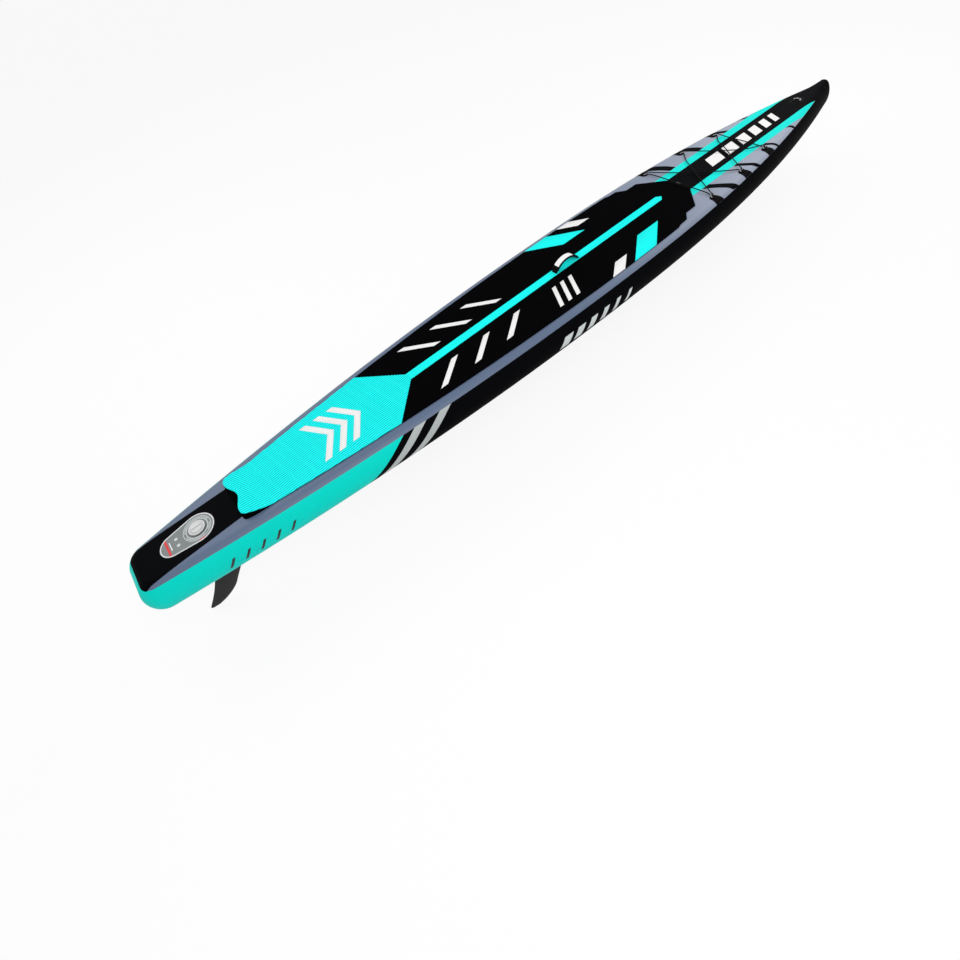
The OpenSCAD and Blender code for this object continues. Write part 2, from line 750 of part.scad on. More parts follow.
// All of the deck behind the chevron line, moved forward by g.
module behind_chevron_2d(g) {
    run = (chevron_front - chevron_rear) / (pad_half(chevron_rear) - stripe_w / 2);
    y1 = board_w / 2;
    x1 = chevron_rear - run * (y1 - pad_half(chevron_rear)) + g;
    x0 = chevron_front + g;
    polygon([[-end_x, -y1], [x1, -y1], [x0, -stripe_w / 2], [x0, stripe_w / 2], [x1, y1], [-end_x, y1]]);
}

// A slanted four-sided inlay: its ends lie at y0 and y1, and its rear edge runs from x0 to x1.
module slant_2d(x0, x1, y0, y1, w, g) {
    lean = (x1 - x0) / (y1 - y0);
    gx = g * sqrt(1 + lean * lean);
    s = sign(y1 - y0);
    ya = y0 - s * g;
    yb = y1 + s * g;
    xa = x0 - lean * s * g;
    xb = x1 + lean * s * g;
    polygon([[xa - gx, ya], [xa + w + gx, ya], [xb + w + gx, yb], [xb - gx, yb]]);
}

module stripe_2d(g) {
    y = stripe_w / 2 + g;
    polygon([[chevron_front - g, -y], [stripe_tip - stripe_point + g, -y], [stripe_tip + g, 0],
        [stripe_tip - stripe_point + g, y], [chevron_front - g, y]]);
}

module dashes_2d(g) {
    for (side = [-1, 1], i = [0 : dash_n - 1]) {
        x = dash_x + dash_step * i;
        slant_2d(x, x + dash_run, side * dash_out, side * dash_in, dash_w, g);
    }
}

// A flash reaches in by a given width from the pad's side, and its outline runs past that side.
flash_past = 12;
module flash_2d(side, x, reach, w, g) {
    y_out = pad_half(x + w);
    slant_2d(x - flash_lean * flash_past, x + flash_lean * reach,
        side * (y_out + flash_past), side * (y_out - reach), w, g);
}

module flashes_turquoise_2d(g) {
    flash_2d(1, flash_port_x, flash_reach, flash_w, g);
    flash_2d(-1, flash_starboard_x, flash_reach, flash_w, g);
}

module flashes_white_2d(g) {
    flash_2d(1, white_port_x, white_reach, white_w, g);
    flash_2d(-1, white_starboard_x, white_reach, white_w, g);
}

module chevrons_2d(g) {
    for (i = [0 : mark_n - 1]) {
        x = mark_x + mark_step * i;
        gx = g * sqrt(1 + pow(mark_run / mark_y, 2));
        y = mark_y + g;
        xe = x - g * mark_run / mark_y;
        polygon([[xe - gx, -y], [xe + mark_w + gx, -y], [x + mark_run + mark_w + gx, 0],
            [xe + mark_w + gx, y], [xe - gx, y], [x + mark_run - gx, 0]]);
    }
}

module bars_2d(g) {
    for (i = [0 : bar_n - 1]) {
        x = bar_x + bar_step * i;
        slant_2d(x, x + bar_run, -bar_out, -bar_in, bar_w, g);
    }
}

module pad_base() {
    color([0.03, 0.03, 0.03])
        difference() {
            translate([0, 0, deck_z])
                linear_extrude(pad_base_t)
                    pad_outline_2d(false);
            handle_pockets();
        }
}

module pad_layer() {
    translate([0, 0, deck_z + pad_base_t])
        linear_extrude(pad_top_t)
            children();
}

// Height of the raised rear end above the flat pad: a slope that starts and ends level.
function kick_rise(x) = let (t = clamp01((pad_rear + kick_l - x) / kick_l)) kick_h * t * t * (3 - 2 * t);

// The space across the whole board between two lists of [x, z] points.
module across_board(low, high) {
    translate([0, board_w / 2, deck_z + pad_base_t])
        rotate([90, 0, 0])
            linear_extrude(board_w)
                polygon(concat(low, [for (i = [len(high) - 1 : -1 : 0]) high[i]]));
}

module pad_column() {
    translate([0, 0, deck_z])
        linear_extrude(pad_base_t + pad_top_t + kick_h + 1)
            children();
}

kick_steps = 14;
kick_line = [for (i = [0 : kick_steps]) let (x = pad_rear + kick_l * i / kick_steps) [x, kick_rise(x)]];
kick_start = [pad_rear - 1, kick_h];

module pad_kick() {
    color([0.03, 0.03, 0.03])
        intersection() {
            across_board([[kick_start[0], 0], kick_line[kick_steps]],
                concat([kick_start], [for (i = [0 : kick_steps - 1]) kick_line[i]]));
            pad_column()
                pad_outline_2d(true);
        }
}

module pad_tail() {
    line = concat([kick_start], kick_line, [[0, 0]]);
    color([0.1, 0.92, 0.88])
        intersection() {
            across_board(line, [for (p = line) [p[0], p[1] + pad_top_t]]);
            pad_column()
                difference() {
                    intersection() {
                        pad_outline_2d(true);
                        behind_chevron_2d(0);
                    }
                    chevrons_2d(inlay_gap);
                }
        }
}

module pad_main() {
    color([0.03, 0.03, 0.03])
        difference() {
            pad_layer()
                difference() {
                    pad_outline_2d(true);
                    behind_chevron_2d(inlay_gap);
                    stripe_2d(inlay_gap);
                    dashes_2d(inlay_gap);
                    flashes_turquoise_2d(inlay_gap);
                    flashes_white_2d(inlay_gap);
                    bars_2d(inlay_gap);
                }
            handle_pockets();
        }
}

module pad_stripe() {
    color([0.1, 0.92, 0.88])
        difference() {
            pad_layer()
                difference() {
                    stripe_2d(0);
                    behind_chevron_2d(inlay_gap);
                }
            handle_pockets();
        }
}

module pad_dashes() {
    color([0.92, 0.92, 0.92])
        pad_layer()
            dashes_2d(0);
}

module pad_flashes_turquoise() {
    color([0.1, 0.92, 0.88])
        pad_layer()
            intersection() {
                flashes_turquoise_2d(0);
                pad_outline_2d(true);
            }
}

module pad_flashes_white() {
    color([0.92, 0.92, 0.92])
        pad_layer()
            intersection() {
                flashes_white_2d(0);
                pad_outline_2d(true);
            }
}

module pad_chevrons() {
    color([0.92, 0.92, 0.92])
        pad_layer()
            chevrons_2d(0);
}

module pad_bars() {
    color([0.92, 0.92, 0.92])
        pad_layer()
            bars_2d(0);
}

// ---------------------------------------------------------------- carry handle

// The handle is an arc of a circle whose legs go down through the pad to feet on the deck.
arch_r = (pow(handle_l / 2, 2) + pow(handle_h, 2)) / (2 * handle_h);
arch_z = pad_z + handle_h - arch_r;
foot_z = deck_z + anchor_t;
leg_x = sqrt(pow(arch_r, 2) - pow(foot_z - arch_z, 2));

// The part of a ring between two radii that lies above a level.
module arc_2d(outer, inner, low) {
    difference() {
        intersection() {
            circle(outer, $fn = 96);
            translate([-2 * arch_r, low - arch_z])
                square([4 * arch_r, 2 * arch_r]);
        }
        circle(inner, $fn = 96);
    }
}

module across(w) {
    translate([handle_x, w / 2, arch_z])
        rotate([90, 0, 0])
            linear_extrude(w)
                children();
}

module webbing_2d(g, low) {
    arc_2d(arch_r + g, arch_r - webbing_t - g, low);
}

module at_feet() {
    for (side = [-1, 1])
        translate([handle_x + side * (leg_x - foot_l / 2), 0, 0])
            children();
}

module slab(l, w, z0, z1) {
    translate([-l / 2, -w / 2, z0])
        cube([l, w, z1 - z0]);
}

// The room in the pad for the webbing's legs, its feet and the anchor patches.
module handle_pockets() {
    g = pocket_gap;
    at_feet() {
        slab(anchor_l + 2 * g, anchor_w + 2 * g, deck_z - 1, foot_z + g);
        slab(foot_l + 2 * g, webbing_w + 2 * g, deck_z - 1, foot_z + webbing_t + g);
    }
    across(webbing_w + 2 * g)
        webbing_2d(g, foot_z);
}

module handle_anchors() {
    color([0.04, 0.04, 0.04])
        at_feet()
            slab(anchor_l, anchor_w, deck_z, foot_z);
}

module handle_strap() {
    color([0.05, 0.05, 0.05]) {
        across(webbing_w)
            webbing_2d(0, foot_z);
        at_feet()
            slab(foot_l, webbing_w, foot_z, foot_z + webbing_t);
    }
}

module handle_grip() {
    color([0.05, 0.05, 0.05])
        difference() {
            across(webbing_w + 2 * grip_side)
                arc_2d(arch_r + grip_t, arch_r - webbing_t - grip_t, pad_z + grip_start);
            across(webbing_w + 2 * inlay_gap)
                webbing_2d(inlay_gap, pad_z);
        }
}

module handle_panel() {
    color([0.92, 0.92, 0.92])
        intersection() {
            across(panel_w)
                arc_2d(arch_r + grip_t + panel_t, arch_r + grip_t, pad_z + grip_start);
            translate([handle_x, 0, 0])
                slab(panel_l, webbing_w + 2 * grip_side, pad_z, pad_z + 2 * handle_h);
        }
}

// ---------------------------------------------------------------- rings, loops and bungee

bungee_x = [bungee_rear_x, bungee_mid_x, bungee_front_x];
bar_r = wire_r + bar_extra;
loop_r = bar_r + loop_gap + loop_t;
ring_z = deck_z + glue_t + patch_t + loop_r;
function ring_y(x) = half_w(x) - rail_in - ring_in;

// Places its child at each bungee anchor, with its X to the middle of the board.
module at_bungee_anchors() {
    for (x = bungee_x, side = [-1, 1])
        translate([x, side * ring_y(x), ring_z])
            rotate([0, 0, side * -90])
                children();
}

// A ring with a straight bar along Y and its bow ahead of the bar.
module d_ring(r, wire, bar) {
    rotate_extrude(angle = 180, start = -90)
        translate([r, 0])
            circle(wire);
    rotate([90, 0, 0])
        cylinder(r = bar, h = 2 * (r + bar), center = true);
}

// Webbing around the bar of a ring, with a double tail behind it.
module loop(bar, w, tail) {
    r = bar + loop_gap + loop_t;
    rotate([90, 0, 0])
        linear_extrude(w, center = true)
            difference() {
                union() {
                    circle(r);
                    translate([-tail, -r])
                        square([tail, 2 * loop_t]);
                }
                circle(bar + loop_gap);
            }
}

patch_rows = 4;
patch_cols = 6;
module bungee_patches() {
    color([0.03, 0.03, 0.03])
        for (x = bungee_x, side = [-1, 1]) {
            seam_in = rail_in * (1 - cos(deck_seam)) + 2;
            reach = rail_in + ring_in + patch_reach;
            place = function (i, j, lift) let (
                    t = i / patch_cols, d = seam_in + (reach - seam_in) * t,
                    w = patch_low_w + (patch_top_w - patch_low_w) * t,
                    px = x + w * (j / patch_rows - 0.5))
                deck_point(side_station(px, side), d, lift);
            grid = function (lift) [for (i = [0 : patch_cols]) [for (j = [0 : patch_rows]) place(i, j, lift)]];
            if (side < 0)
                sheet(grid(glue_t), grid(glue_t + patch_t));
            else
                sheet(grid(glue_t + patch_t), grid(glue_t));
        }
}

module bungee_loops() {
    color([0.04, 0.04, 0.04])
        at_bungee_anchors()
            loop(bar_r, loop_w, loop_tail);
}

module bungee_rings() {
    color([0.75, 0.76, 0.78])
        at_bungee_anchors()
            rotate([0, -ring_tilt, 0])
                d_ring(ring_r, wire_r, bar_r);
}

// Route of the cord, one closed loop: [x, y, height over the deck]. It leaves each ring under
// the bow and comes to the next one over it.
cord_route = [
    [771, -160, 9.5], [769, -186, 6], [768, -197, 6.2], [768, -200.5, 12.2], [769, -197, 16.8], [773, -186, 16],
    [834, -94, 13], [898, 0, 16], [966, 98, 11], [1024, 156, 6.6], [1033, 171, 6], [1035, 176, 11.2],
    [1038, 171, 16.2], [1046, 156, 15],
    [1096, 80, 12], [1152, 0, 9.6], [1210, -80, 11], [1271, -129, 15], [1277, -141, 16.4], [1280, -145.5, 11.2],
    [1280, -141, 6], [1278, -129, 6.2],
    [1278, -60, 11], [1278, 60, 11], [1278, 129, 15], [1279, 141, 16.4], [1280, 145.5, 11.2],
    [1277, 141, 6], [1270, 129, 6.2],
    [1214, 80, 11], [1160, 0, 16], [1100, -80, 13], [1046, -156, 15], [1038, -171, 16.2], [1035, -176, 11.2],
    [1033, -171, 6], [1022, -156, 6.4],
    [962, -94, 10], [894, 0, 9.6], [830, 94, 12], [776, 182, 15.8], [770, 197, 16.8], [768, 201.5, 12.2],
    [768, 197, 6.2], [770, 186, 6], [771, 160, 9.5], [771, 80, 11], [771, -80, 11]];
cord_steps = 3;
// A smooth curve through the route's points.
function spline(a, b, c, d, t) = 0.5 * (2 * b + (c - a) * t + (2 * a - 5 * b + 4 * c - d) * t * t
    + (3 * b - 3 * c + d - a) * t * t * t);
function smooth_loop(p, steps) = let (n = len(p)) [for (i = [0 : n - 1], k = [0 : steps - 1])
    spline(p[(i + n - 1) % n], p[i], p[(i + 1) % n], p[(i + 2) % n], k / steps)];

module bungee_cord() {
    route = [for (p = cord_route) [p[0], p[1], deck_z + p[2]]];
    color([0.05, 0.05, 0.05])
        tube(smooth_loop(route, cord_steps), cord_r, 8, true);
}

// The sleeve sits on the straight rear strand.
joiner_x = 771;
joiner_z = 11;
module bungee_joiner() {
    color([0.1, 0.1, 0.1])
        translate([joiner_x, 0, deck_z + joiner_z])
            rotate([90, 0, 0])
                linear_extrude(joiner_l, center = true)
                    ring_2d(cord_r + joiner_gap + joiner_wall, cord_r + joiner_gap);
}

nose_bar_r = nose_wire_r + bar_extra;
nose_loop_r = nose_bar_r + loop_gap + loop_t;
nose_ring_z = deck_z + patch_t + nose_loop_r;
// The ring lies on the patch, so it dips towards its bow.
nose_dip = asin((nose_loop_r - nose_wire_r - glue_t) / nose_ring_r);

module nose_patch() {
    color([0.03, 0.03, 0.03])
        translate([nose_ring_x, 0, deck_z])
            linear_extrude(patch_t)
                stadium_2d(nose_patch_l, nose_patch_w);
}

module nose_loop() {
    color([0.04, 0.04, 0.04])
        translate([nose_ring_x, 0, nose_ring_z])
            loop(nose_bar_r, loop_w + 6, loop_tail + 8);
}

module nose_ring() {
    color([0.8, 0.81, 0.83])
        translate([nose_ring_x, 0, nose_ring_z])
            rotate([0, nose_dip, 0])
                d_ring(nose_ring_r, nose_wire_r, nose_bar_r);
}

// ---------------------------------------------------------------- valve

plate_z = deck_z + band_t;
flange_z = plate_z + plate_t;
neck_z = flange_z + flange_t;
rim_z = neck_z + neck_h;
barrel_r = throat_r + barrel_wall;
barrel_z = flange_z - barrel_l;
guide_z = barrel_z + guide_up;
button_z = rim_z - button_down;
neck_r = throat_r + neck_wall;

module at_valve(z) {
    translate([valve_x, 0, z])
        children();
}

module valve_plate() {
    // The plate's sides touch both end circles.
    lean = asin((plate_r - plate_tail_r) / plate_l);
    color([0.6, 0.62, 0.62])
        at_valve(plate_z)
            linear_extrude(plate_t)
                difference() {
                    union() {
                        circle(plate_r);
                        translate([-plate_l, 0])
                            circle(plate_tail_r);
                        polygon([for (side = [1, -1], e = side > 0 ? [0, 1] : [1, 0])
                            let (r = e == 0 ? plate_r : plate_tail_r)
                            [-plate_l * e - r * sin(lean), side * r * cos(lean)]]);
                    }
                    circle(barrel_r + barrel_gap);
                }
}

module valve_body() {
    color([0.45, 0.47, 0.48])
        difference() {
            union() {
                at_valve(flange_z)
                    cylinder(r = flange_r, h = flange_t);
                at_valve(flange_z)
                    cylinder(r = neck_r, h = flange_t + neck_h);
                at_valve(barrel_z)
                    cylinder(r = barrel_r, h = barrel_l + flange_t);
            }
            difference() {
                at_valve(barrel_z - 1)
                    cylinder(r = throat_r, h = barrel_l + flange_t + neck_h + 2);
                at_valve(guide_z) {
                    cylinder(r = guide_r, h = guide_t);
                    for (i = [0 : rib_n - 1])
                        rotate([0, 0, 360 * i / rib_n])
                            translate([0, -rib_w / 2, 0])
                                cube([throat_r + 1, rib_w, guide_t]);
                }
            }
            at_valve(guide_z - 1)
                cylinder(r = stem_r + stem_gap, h = guide_t + 2);
        }
}

module valve_gasket() {
    color([0.08, 0.08, 0.08])
        at_valve(deck_z - skin_t - gasket_t)
            linear_extrude(gasket_t)
                ring_2d(nut_r - 1, barrel_r + barrel_gap);
}

module valve_nut() {
    color([0.35, 0.36, 0.37])
        at_valve(deck_z - skin_t - gasket_t - nut_t)
            linear_extrude(nut_t)
                ring_2d(nut_r, barrel_r + barrel_gap);
}

module valve_plunger() {
    low = barrel_z - disc_gap - disc_t;
    color([0.2, 0.2, 0.21]) {
        at_valve(low)
            cylinder(r = disc_r, h = disc_t);
        at_valve(low)
            cylinder(r = stem_r, h = button_z - button_t - low);
    }
}

module valve_button() {
    color([0.7, 0.1, 0.1])
        at_valve(button_z - button_t)
            cylinder(r = button_r, h = button_t);
}

module valve_spring() {
    low = guide_z + guide_t + spring_gap + spring_wire;
    high = button_z - button_t - spring_gap - spring_wire;
    steps = spring_n * 12;
    color([0.75, 0.75, 0.77])
        tube([for (i = [0 : steps]) let (a = 360 * i / 12)
            [valve_x + spring_r * cos(a), spring_r * sin(a), low + (high - low) * i / steps]],
            spring_wire, 6);
}

seal_z = rim_z + disc_gap;
cap_z = neck_z + cap_gap;
cap_in = neck_r + cap_gap;
cap_r = cap_in + cap_wall;
cap_roof = seal_z + seal_t + 0.1;

module valve_cap_seal() {
    color([0.1, 0.1, 0.1])
        at_valve(seal_z)
            linear_extrude(seal_t)
                ring_2d(neck_r, throat_r);
}

module valve_cap() {
    color([0.5, 0.52, 0.53]) {
        at_valve(cap_z)
            linear_extrude(cap_roof - cap_z)
                ring_2d(cap_r, cap_in);
        at_valve(cap_z)
            linear_extrude(cap_brim_t)
                ring_2d(flange_r - cap_brim_in, cap_in);
        at_valve(cap_roof)
            cylinder(r = cap_r, h = cap_top);
        at_valve(cap_roof + cap_top)
            translate([-(cap_r - 4), -grip_bar_w / 2, 0])
                cube([2 * (cap_r - 4), grip_bar_w, grip_bar_h]);
    }
}

// ---------------------------------------------------------------- fin box

patch_z = -patch_t;
box_low = patch_z - box_h;
slot_top = patch_z - slot_roof;
groove_top = slot_top - groove_down;
groove_low = groove_top - groove_h;
slot_w = fin_base_t + 2 * slot_gap;

module fin_box_patch() {
    color([0.03, 0.03, 0.03])
        translate([box_x, 0, patch_z])
            linear_extrude(patch_t)
                stadium_2d(box_patch_l, box_patch_w);
}

module fin_box() {
    color([0.05, 0.05, 0.05])
        difference() {
            union() {
                translate([box_x, 0, patch_z - box_flange_t])
                    linear_extrude(box_flange_t)
                        stadium_2d(box_flange_l, box_flange_w);
                translate([box_x, 0, box_low])
                    linear_extrude(box_h)
                        stadium_2d(box_l, box_w);
            }
            translate([box_x - slot_l / 2, -slot_w / 2, box_low - 1])
                cube([slot_l, slot_w, slot_top - box_low + 1]);
            translate([box_x - slot_l / 2, -groove_w / 2, groove_low])
                cube([slot_l, groove_w, groove_h]);
        }
}

// ---------------------------------------------------------------- fin

fin_front = fin_rear + fin_base_l;
screw_x = fin_front - screw_in;
pin_x = fin_rear + pin_in;
pin_z = groove_low + groove_h / 2;
plate_low = groove_low + 0.1;
lug_top = groove_low - 0.3;
blade_z = box_low - blade_gap;
blade_root_front = fin_front - lug_l;
blade_root_rear = fin_rear + 38;
blade_sweep = 236;
blade_hook = 121;

// Leading and trailing edges of the blade at a share t of its depth.
function tip_cut(t, start) = t < start ? 0 : 1 - sqrt(1 - pow((t - start) / (1 - start), 2));
function blade_front(t) = blade_root_front - blade_sweep * pow(t, 0.72) - 60 * tip_cut(t, 0.8);
function blade_rear(t) = blade_root_rear - blade_hook * pow(t, 1.75) + 36 * tip_cut(t, 0.92);
function blade_half(t, c) = (blade_t + (blade_tip_t - blade_t) * t) / 2 * (0.08 + 0.92 * sin(180 * pow(c, 0.6)));
chord_steps = 8;
span_steps = 14;
root_sink = 2;

function blade_ring(t, z) = let (f = blade_front(t), r = blade_rear(t)) concat(
    [for (i = [0 : chord_steps]) let (c = i / chord_steps) [f + (r - f) * c, blade_half(t, c), z]],
    [for (i = [chord_steps : -1 : 0]) let (c = i / chord_steps) [f + (r - f) * c, -blade_half(t, c), z]]);

module blade() {
    shares = [for (i = [0 : span_steps]) pow(i / span_steps, 0.8) * 0.995];
    rings = concat([blade_ring(0, blade_z + root_sink)],
        [for (t = shares) blade_ring(t, blade_z - fin_depth * t)]);
    m = len(rings[0]);
    walls = [for (i = [0 : len(rings) - 2], k = [0 : m - 1])
        [i * m + k, i * m + (k + 1) % m, (i + 1) * m + (k + 1) % m, (i + 1) * m + k]];
    ends = [[for (k = [m - 1 : -1 : 0]) k], [for (k = [0 : m - 1]) (len(rings) - 1) * m + k]];
    polyhedron(flat(rings), concat(flat([for (q = walls) [[q[0], q[1], q[2]], [q[0], q[2], q[3]]]]), ends));
}

module fin() {
    tab_top = slot_top - slot_gap;
    color([0.03, 0.03, 0.03])
        difference() {
            union() {
                blade();
                translate([fin_rear, -fin_base_t / 2, blade_z])
                    cube([fin_base_l - lug_l, fin_base_t, tab_top - blade_z]);
                translate([fin_front - lug_l - 1, -fin_base_t / 2, lug_top - lug_t])
                    cube([lug_l + 1, fin_base_t, lug_t]);
            }
            translate([pin_x, 0, pin_z])
                rotate([90, 0, 0])
                    cylinder(r = pin_r + pin_gap, h = 2 * fin_base_t, center = true);
            translate([screw_x, 0, lug_top - lug_t - 1])
                cylinder(r = screw_r + screw_gap, h = lug_t + 2);
        }
}

module fin_pin() {
    color([0.75, 0.76, 0.78])
        translate([pin_x, 0, pin_z])
            rotate([90, 0, 0])
                cylinder(r = pin_r, h = groove_w - 2 * groove_gap, center = true);
}

module fin_nut_plate() {
    color([0.75, 0.76, 0.78])
        difference() {
            translate([screw_x - nut_plate_l / 2, groove_gap - groove_w / 2, plate_low])
                cube([nut_plate_l, groove_w - 2 * groove_gap, nut_plate_t]);
            translate([screw_x, 0, plate_low - 1])
                cylinder(r = screw_r + screw_gap, h = nut_plate_t + 2);
        }
}

module fin_screw() {
    head_top = lug_top - lug_t - screw_gap;
    color([0.8, 0.81, 0.83])
        difference() {
            union() {
                translate([screw_x, 0, head_top - screw_head_t])
                    cylinder(r = screw_head_r, h = screw_head_t);
                translate([screw_x, 0, head_top - screw_head_t])
                    cylinder(r = screw_r, h = plate_low + nut_plate_t - head_top + screw_head_t);
            }
            translate([screw_x - screw_head_r - 1, -0.5, head_top - screw_head_t - 1])
                cube([2 * screw_head_r + 2, 1, 2]);
        }
}

deck_skin();
bottom_skin();
side_wall_port();
side_wall_starboard();
tail_wrap();
deck_seam_tape();
bottom_seam_tape();
drop_threads();
deck_band_tail();
deck_band_nose();
bottom_band_front();
bottom_band_tail();
bottom_panel();
pad_base();
pad_kick();
pad_tail();
pad_main();
pad_stripe();
pad_dashes();
pad_flashes_turquoise();
pad_flashes_white();
pad_chevrons();
pad_bars();
handle_anchors();
handle_strap();
handle_grip();
handle_panel();
bungee_patches();
bungee_loops();
bungee_rings();
bungee_cord();
bungee_joiner();
nose_patch();
nose_loop();
nose_ring();
valve_plate();
valve_body();
valve_gasket();
valve_nut();
valve_plunger();
valve_button();
valve_spring();
valve_cap_seal();
valve_cap();
fin_box_patch();
fin_box();
fin();
fin_pin();
fin_nut_plate();
fin_screw();
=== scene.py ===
"""Looks of an inflatable race paddleboard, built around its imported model.

Lengths are in metres. +X runs to the nose, +Y to port and +Z up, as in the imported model.
"""

import math

import bmesh
import bpy
import numpy as np
from mathutils import Matrix, Vector


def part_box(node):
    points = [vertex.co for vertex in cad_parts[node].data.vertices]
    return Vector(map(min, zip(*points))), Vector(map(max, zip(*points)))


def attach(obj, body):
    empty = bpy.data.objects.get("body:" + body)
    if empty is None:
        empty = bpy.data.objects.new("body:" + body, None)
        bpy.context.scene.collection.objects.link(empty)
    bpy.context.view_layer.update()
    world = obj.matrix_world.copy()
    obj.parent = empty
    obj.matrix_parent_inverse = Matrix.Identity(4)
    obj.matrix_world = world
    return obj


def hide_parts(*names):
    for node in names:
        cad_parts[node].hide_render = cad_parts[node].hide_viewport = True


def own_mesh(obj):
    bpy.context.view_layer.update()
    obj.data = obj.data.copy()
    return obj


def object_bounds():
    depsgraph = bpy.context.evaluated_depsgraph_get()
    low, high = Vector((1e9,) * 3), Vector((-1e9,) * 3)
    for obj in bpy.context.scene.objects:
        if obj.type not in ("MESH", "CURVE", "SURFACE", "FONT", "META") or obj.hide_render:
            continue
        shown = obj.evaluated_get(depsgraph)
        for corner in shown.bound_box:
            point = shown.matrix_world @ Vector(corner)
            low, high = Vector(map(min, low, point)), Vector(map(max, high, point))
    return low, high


bl_info = {
    "name": "Inflatable Race Paddleboard",
    "version": (1, 0, 0),
    "blender": (4, 5, 0),
    "location": "3D View > Sidebar > Paddleboard",
    "description": "Skins, pads, lacing, handle, valve and fin of a race paddleboard around its frame",
    "category": "Add Mesh",
}

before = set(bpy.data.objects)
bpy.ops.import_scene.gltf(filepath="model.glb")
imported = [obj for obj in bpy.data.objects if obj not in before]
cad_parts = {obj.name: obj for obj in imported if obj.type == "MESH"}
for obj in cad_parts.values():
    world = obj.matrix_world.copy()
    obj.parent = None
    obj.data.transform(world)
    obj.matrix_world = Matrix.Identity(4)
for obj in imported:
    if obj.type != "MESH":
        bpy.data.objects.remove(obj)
CAD_BOX = [list(corner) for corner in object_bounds()]
MM = 0.001


def low(node):
    """Lowest corner of a node."""
    return np.array(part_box(node)[0])


def high(node):
    """Highest corner of a node."""
    return np.array(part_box(node)[1])


def midpoint(node):
    """Middle of a node's box."""
    return (low(node) + high(node)) / 2


# ------------------------------------------------------------------ sizes and colours

HALF_LENGTH = high("side_wall_port")[0]
DECK_Z = low("pad_base")[2]
SKIN_LOW = high("bottom_panel")[2]
HALF_THICK = (DECK_Z - SKIN_LOW) / 2
MID_Z = (DECK_Z + SKIN_LOW) / 2
PAD_Z = high("pad_main")[2]
VALVE = midpoint("valve_body")
VALVE_HOLE = 17.9 * MM
SHEET = 0.9 * MM
BAND = 0.8 * MM
PRINT = 0.25 * MM
SEAM_GAP = 0.4 * MM
SIDES = (("port", 1), ("starboard", -1))


def length(name, description, default):
    """A length that a user can change."""
    return bpy.props.FloatProperty(name=name, description=description, default=default, unit="LENGTH")


def angle_up(name, description, degrees):
    """An angle that a user can change."""
    return bpy.props.FloatProperty(name=name, description=description, default=math.radians(degrees),
                                   unit="ROTATION")


def paint(name, description, *default):
    """A colour that a user can change."""
    return bpy.props.FloatVectorProperty(name=name, description=description, subtype="COLOR", default=default)


class BoardSizes(bpy.types.PropertyGroup):
    """Sizes of the hull and of what is glued to it."""
    half_width: length("Half width", "Half of the greatest width", 0.292)
    widest: length("Widest place", "How far ahead of mid length the board is widest", 0.109)
    tail_half: length("Tail half width", "Half width of the tail before its corners are rounded", 0.116)
    tail_radius: length("Tail radius", "Radius of the tail corners", 0.062)
    nose_half: length("Nose radius", "Half width and radius of the nose", 0.032)
    rail_reach: length("Rail reach", "How far the rounded rail reaches in", 0.057)
    nose_rise: length("Nose rise", "How far the nose tip rises", 0.009)
    nose_rise_length: length("Rise length", "Length of the rising nose", 0.18)
    deck_seam: angle_up("Deck seam", "Angle up the rail of the deck seam", 56)
    bottom_seam: angle_up("Bottom seam", "Angle down the rail of the bottom seam", 51)
    lap: length("Lap", "Height of the rail sheet where it laps the skins", 0.0006)
    nose_band: length("Nose band", "Half width of the black band on the nose", 0.073)
    nose_stripe: length("Nose stripe", "Outer edge of the turquoise nose stripes", 0.118)
    tail_band: length("Tail band", "Half width of the black band on the tail", 0.081)
    bottom_band: length("Bottom band", "Half width of the black band under the board", 0.076)
    groove_pitch: length("Groove pitch", "Distance between grooves in the foam", 0.0095)
    groove_depth: length("Groove depth", "Depth of the grooves in the foam", 0.0011)
    stitch: length("Stitch", "Length of one stitch", 0.0032)


class BoardColors(bpy.types.PropertyGroup):
    """Colours of the board."""
    turquoise_foam: paint("Turquoise foam", "Colour of the stripe and flashes in the pad", 0.010, 0.90, 0.86)
    turquoise_rail: paint("Turquoise sheet", "Colour of the wrap around the tail", 0.002, 0.64, 0.55)
    # Painted light: the deck is painted lighter towards the nose and darker towards the tail, between these
    # two colours.
    deck_nose_painted_highlight: paint("Deck, nose end", "Colour of the deck skin at the nose", 0.31, 0.345, 0.43)
    deck_rear: paint("Deck, tail end", "Colour of the deck skin at the tail", 0.090, 0.127, 0.205)
    bottom: paint("Bottom", "Colour of the bottom skin", 0.078, 0.098, 0.117)
    black: paint("Black sheet", "Colour of the black rail sheets", 0.0022, 0.0023, 0.0028)
    white: paint("White", "Colour of the white pieces", 0.83, 0.83, 0.82)
    stripe: paint("Rail stripe", "Colour of the slanted stripes on the rails", 0.40, 0.43, 0.43)


SIZES = {name: p.keywords["default"] for name, p in BoardSizes.__annotations__.items()}


def size(name):
    """A size as set in the scene, or its default before the scene has it."""
    sizes = getattr(bpy.context.scene, "board_sizes", None)
    return getattr(sizes, name) if sizes else SIZES[name]


def color(name):
    """A colour of the board with full opacity."""
    return (*getattr(bpy.context.scene.board_colors, name), 1.0)


# ------------------------------------------------------------------ lines

def distances(line):
    """Distance of each point of a line from the first, along the line."""
    return np.concatenate([[0], np.cumsum(np.linalg.norm(np.diff(line, axis=0), axis=1))])


def unit(rows):
    """Rows of a table brought to length one."""
    return rows / np.linalg.norm(rows, axis=1)[:, None]


def arc(middle, radius, turn):
    """Plan points on a circle at the given angles."""
    return np.stack([middle + radius * np.cos(turn), radius * np.sin(turn)], -1)


def rectangle(x0, y0, x1, y1):
    """Corners of a rectangle, anticlockwise."""
    return np.array([(x0, y0), (x1, y0), (x1, y1), (x0, y1)])


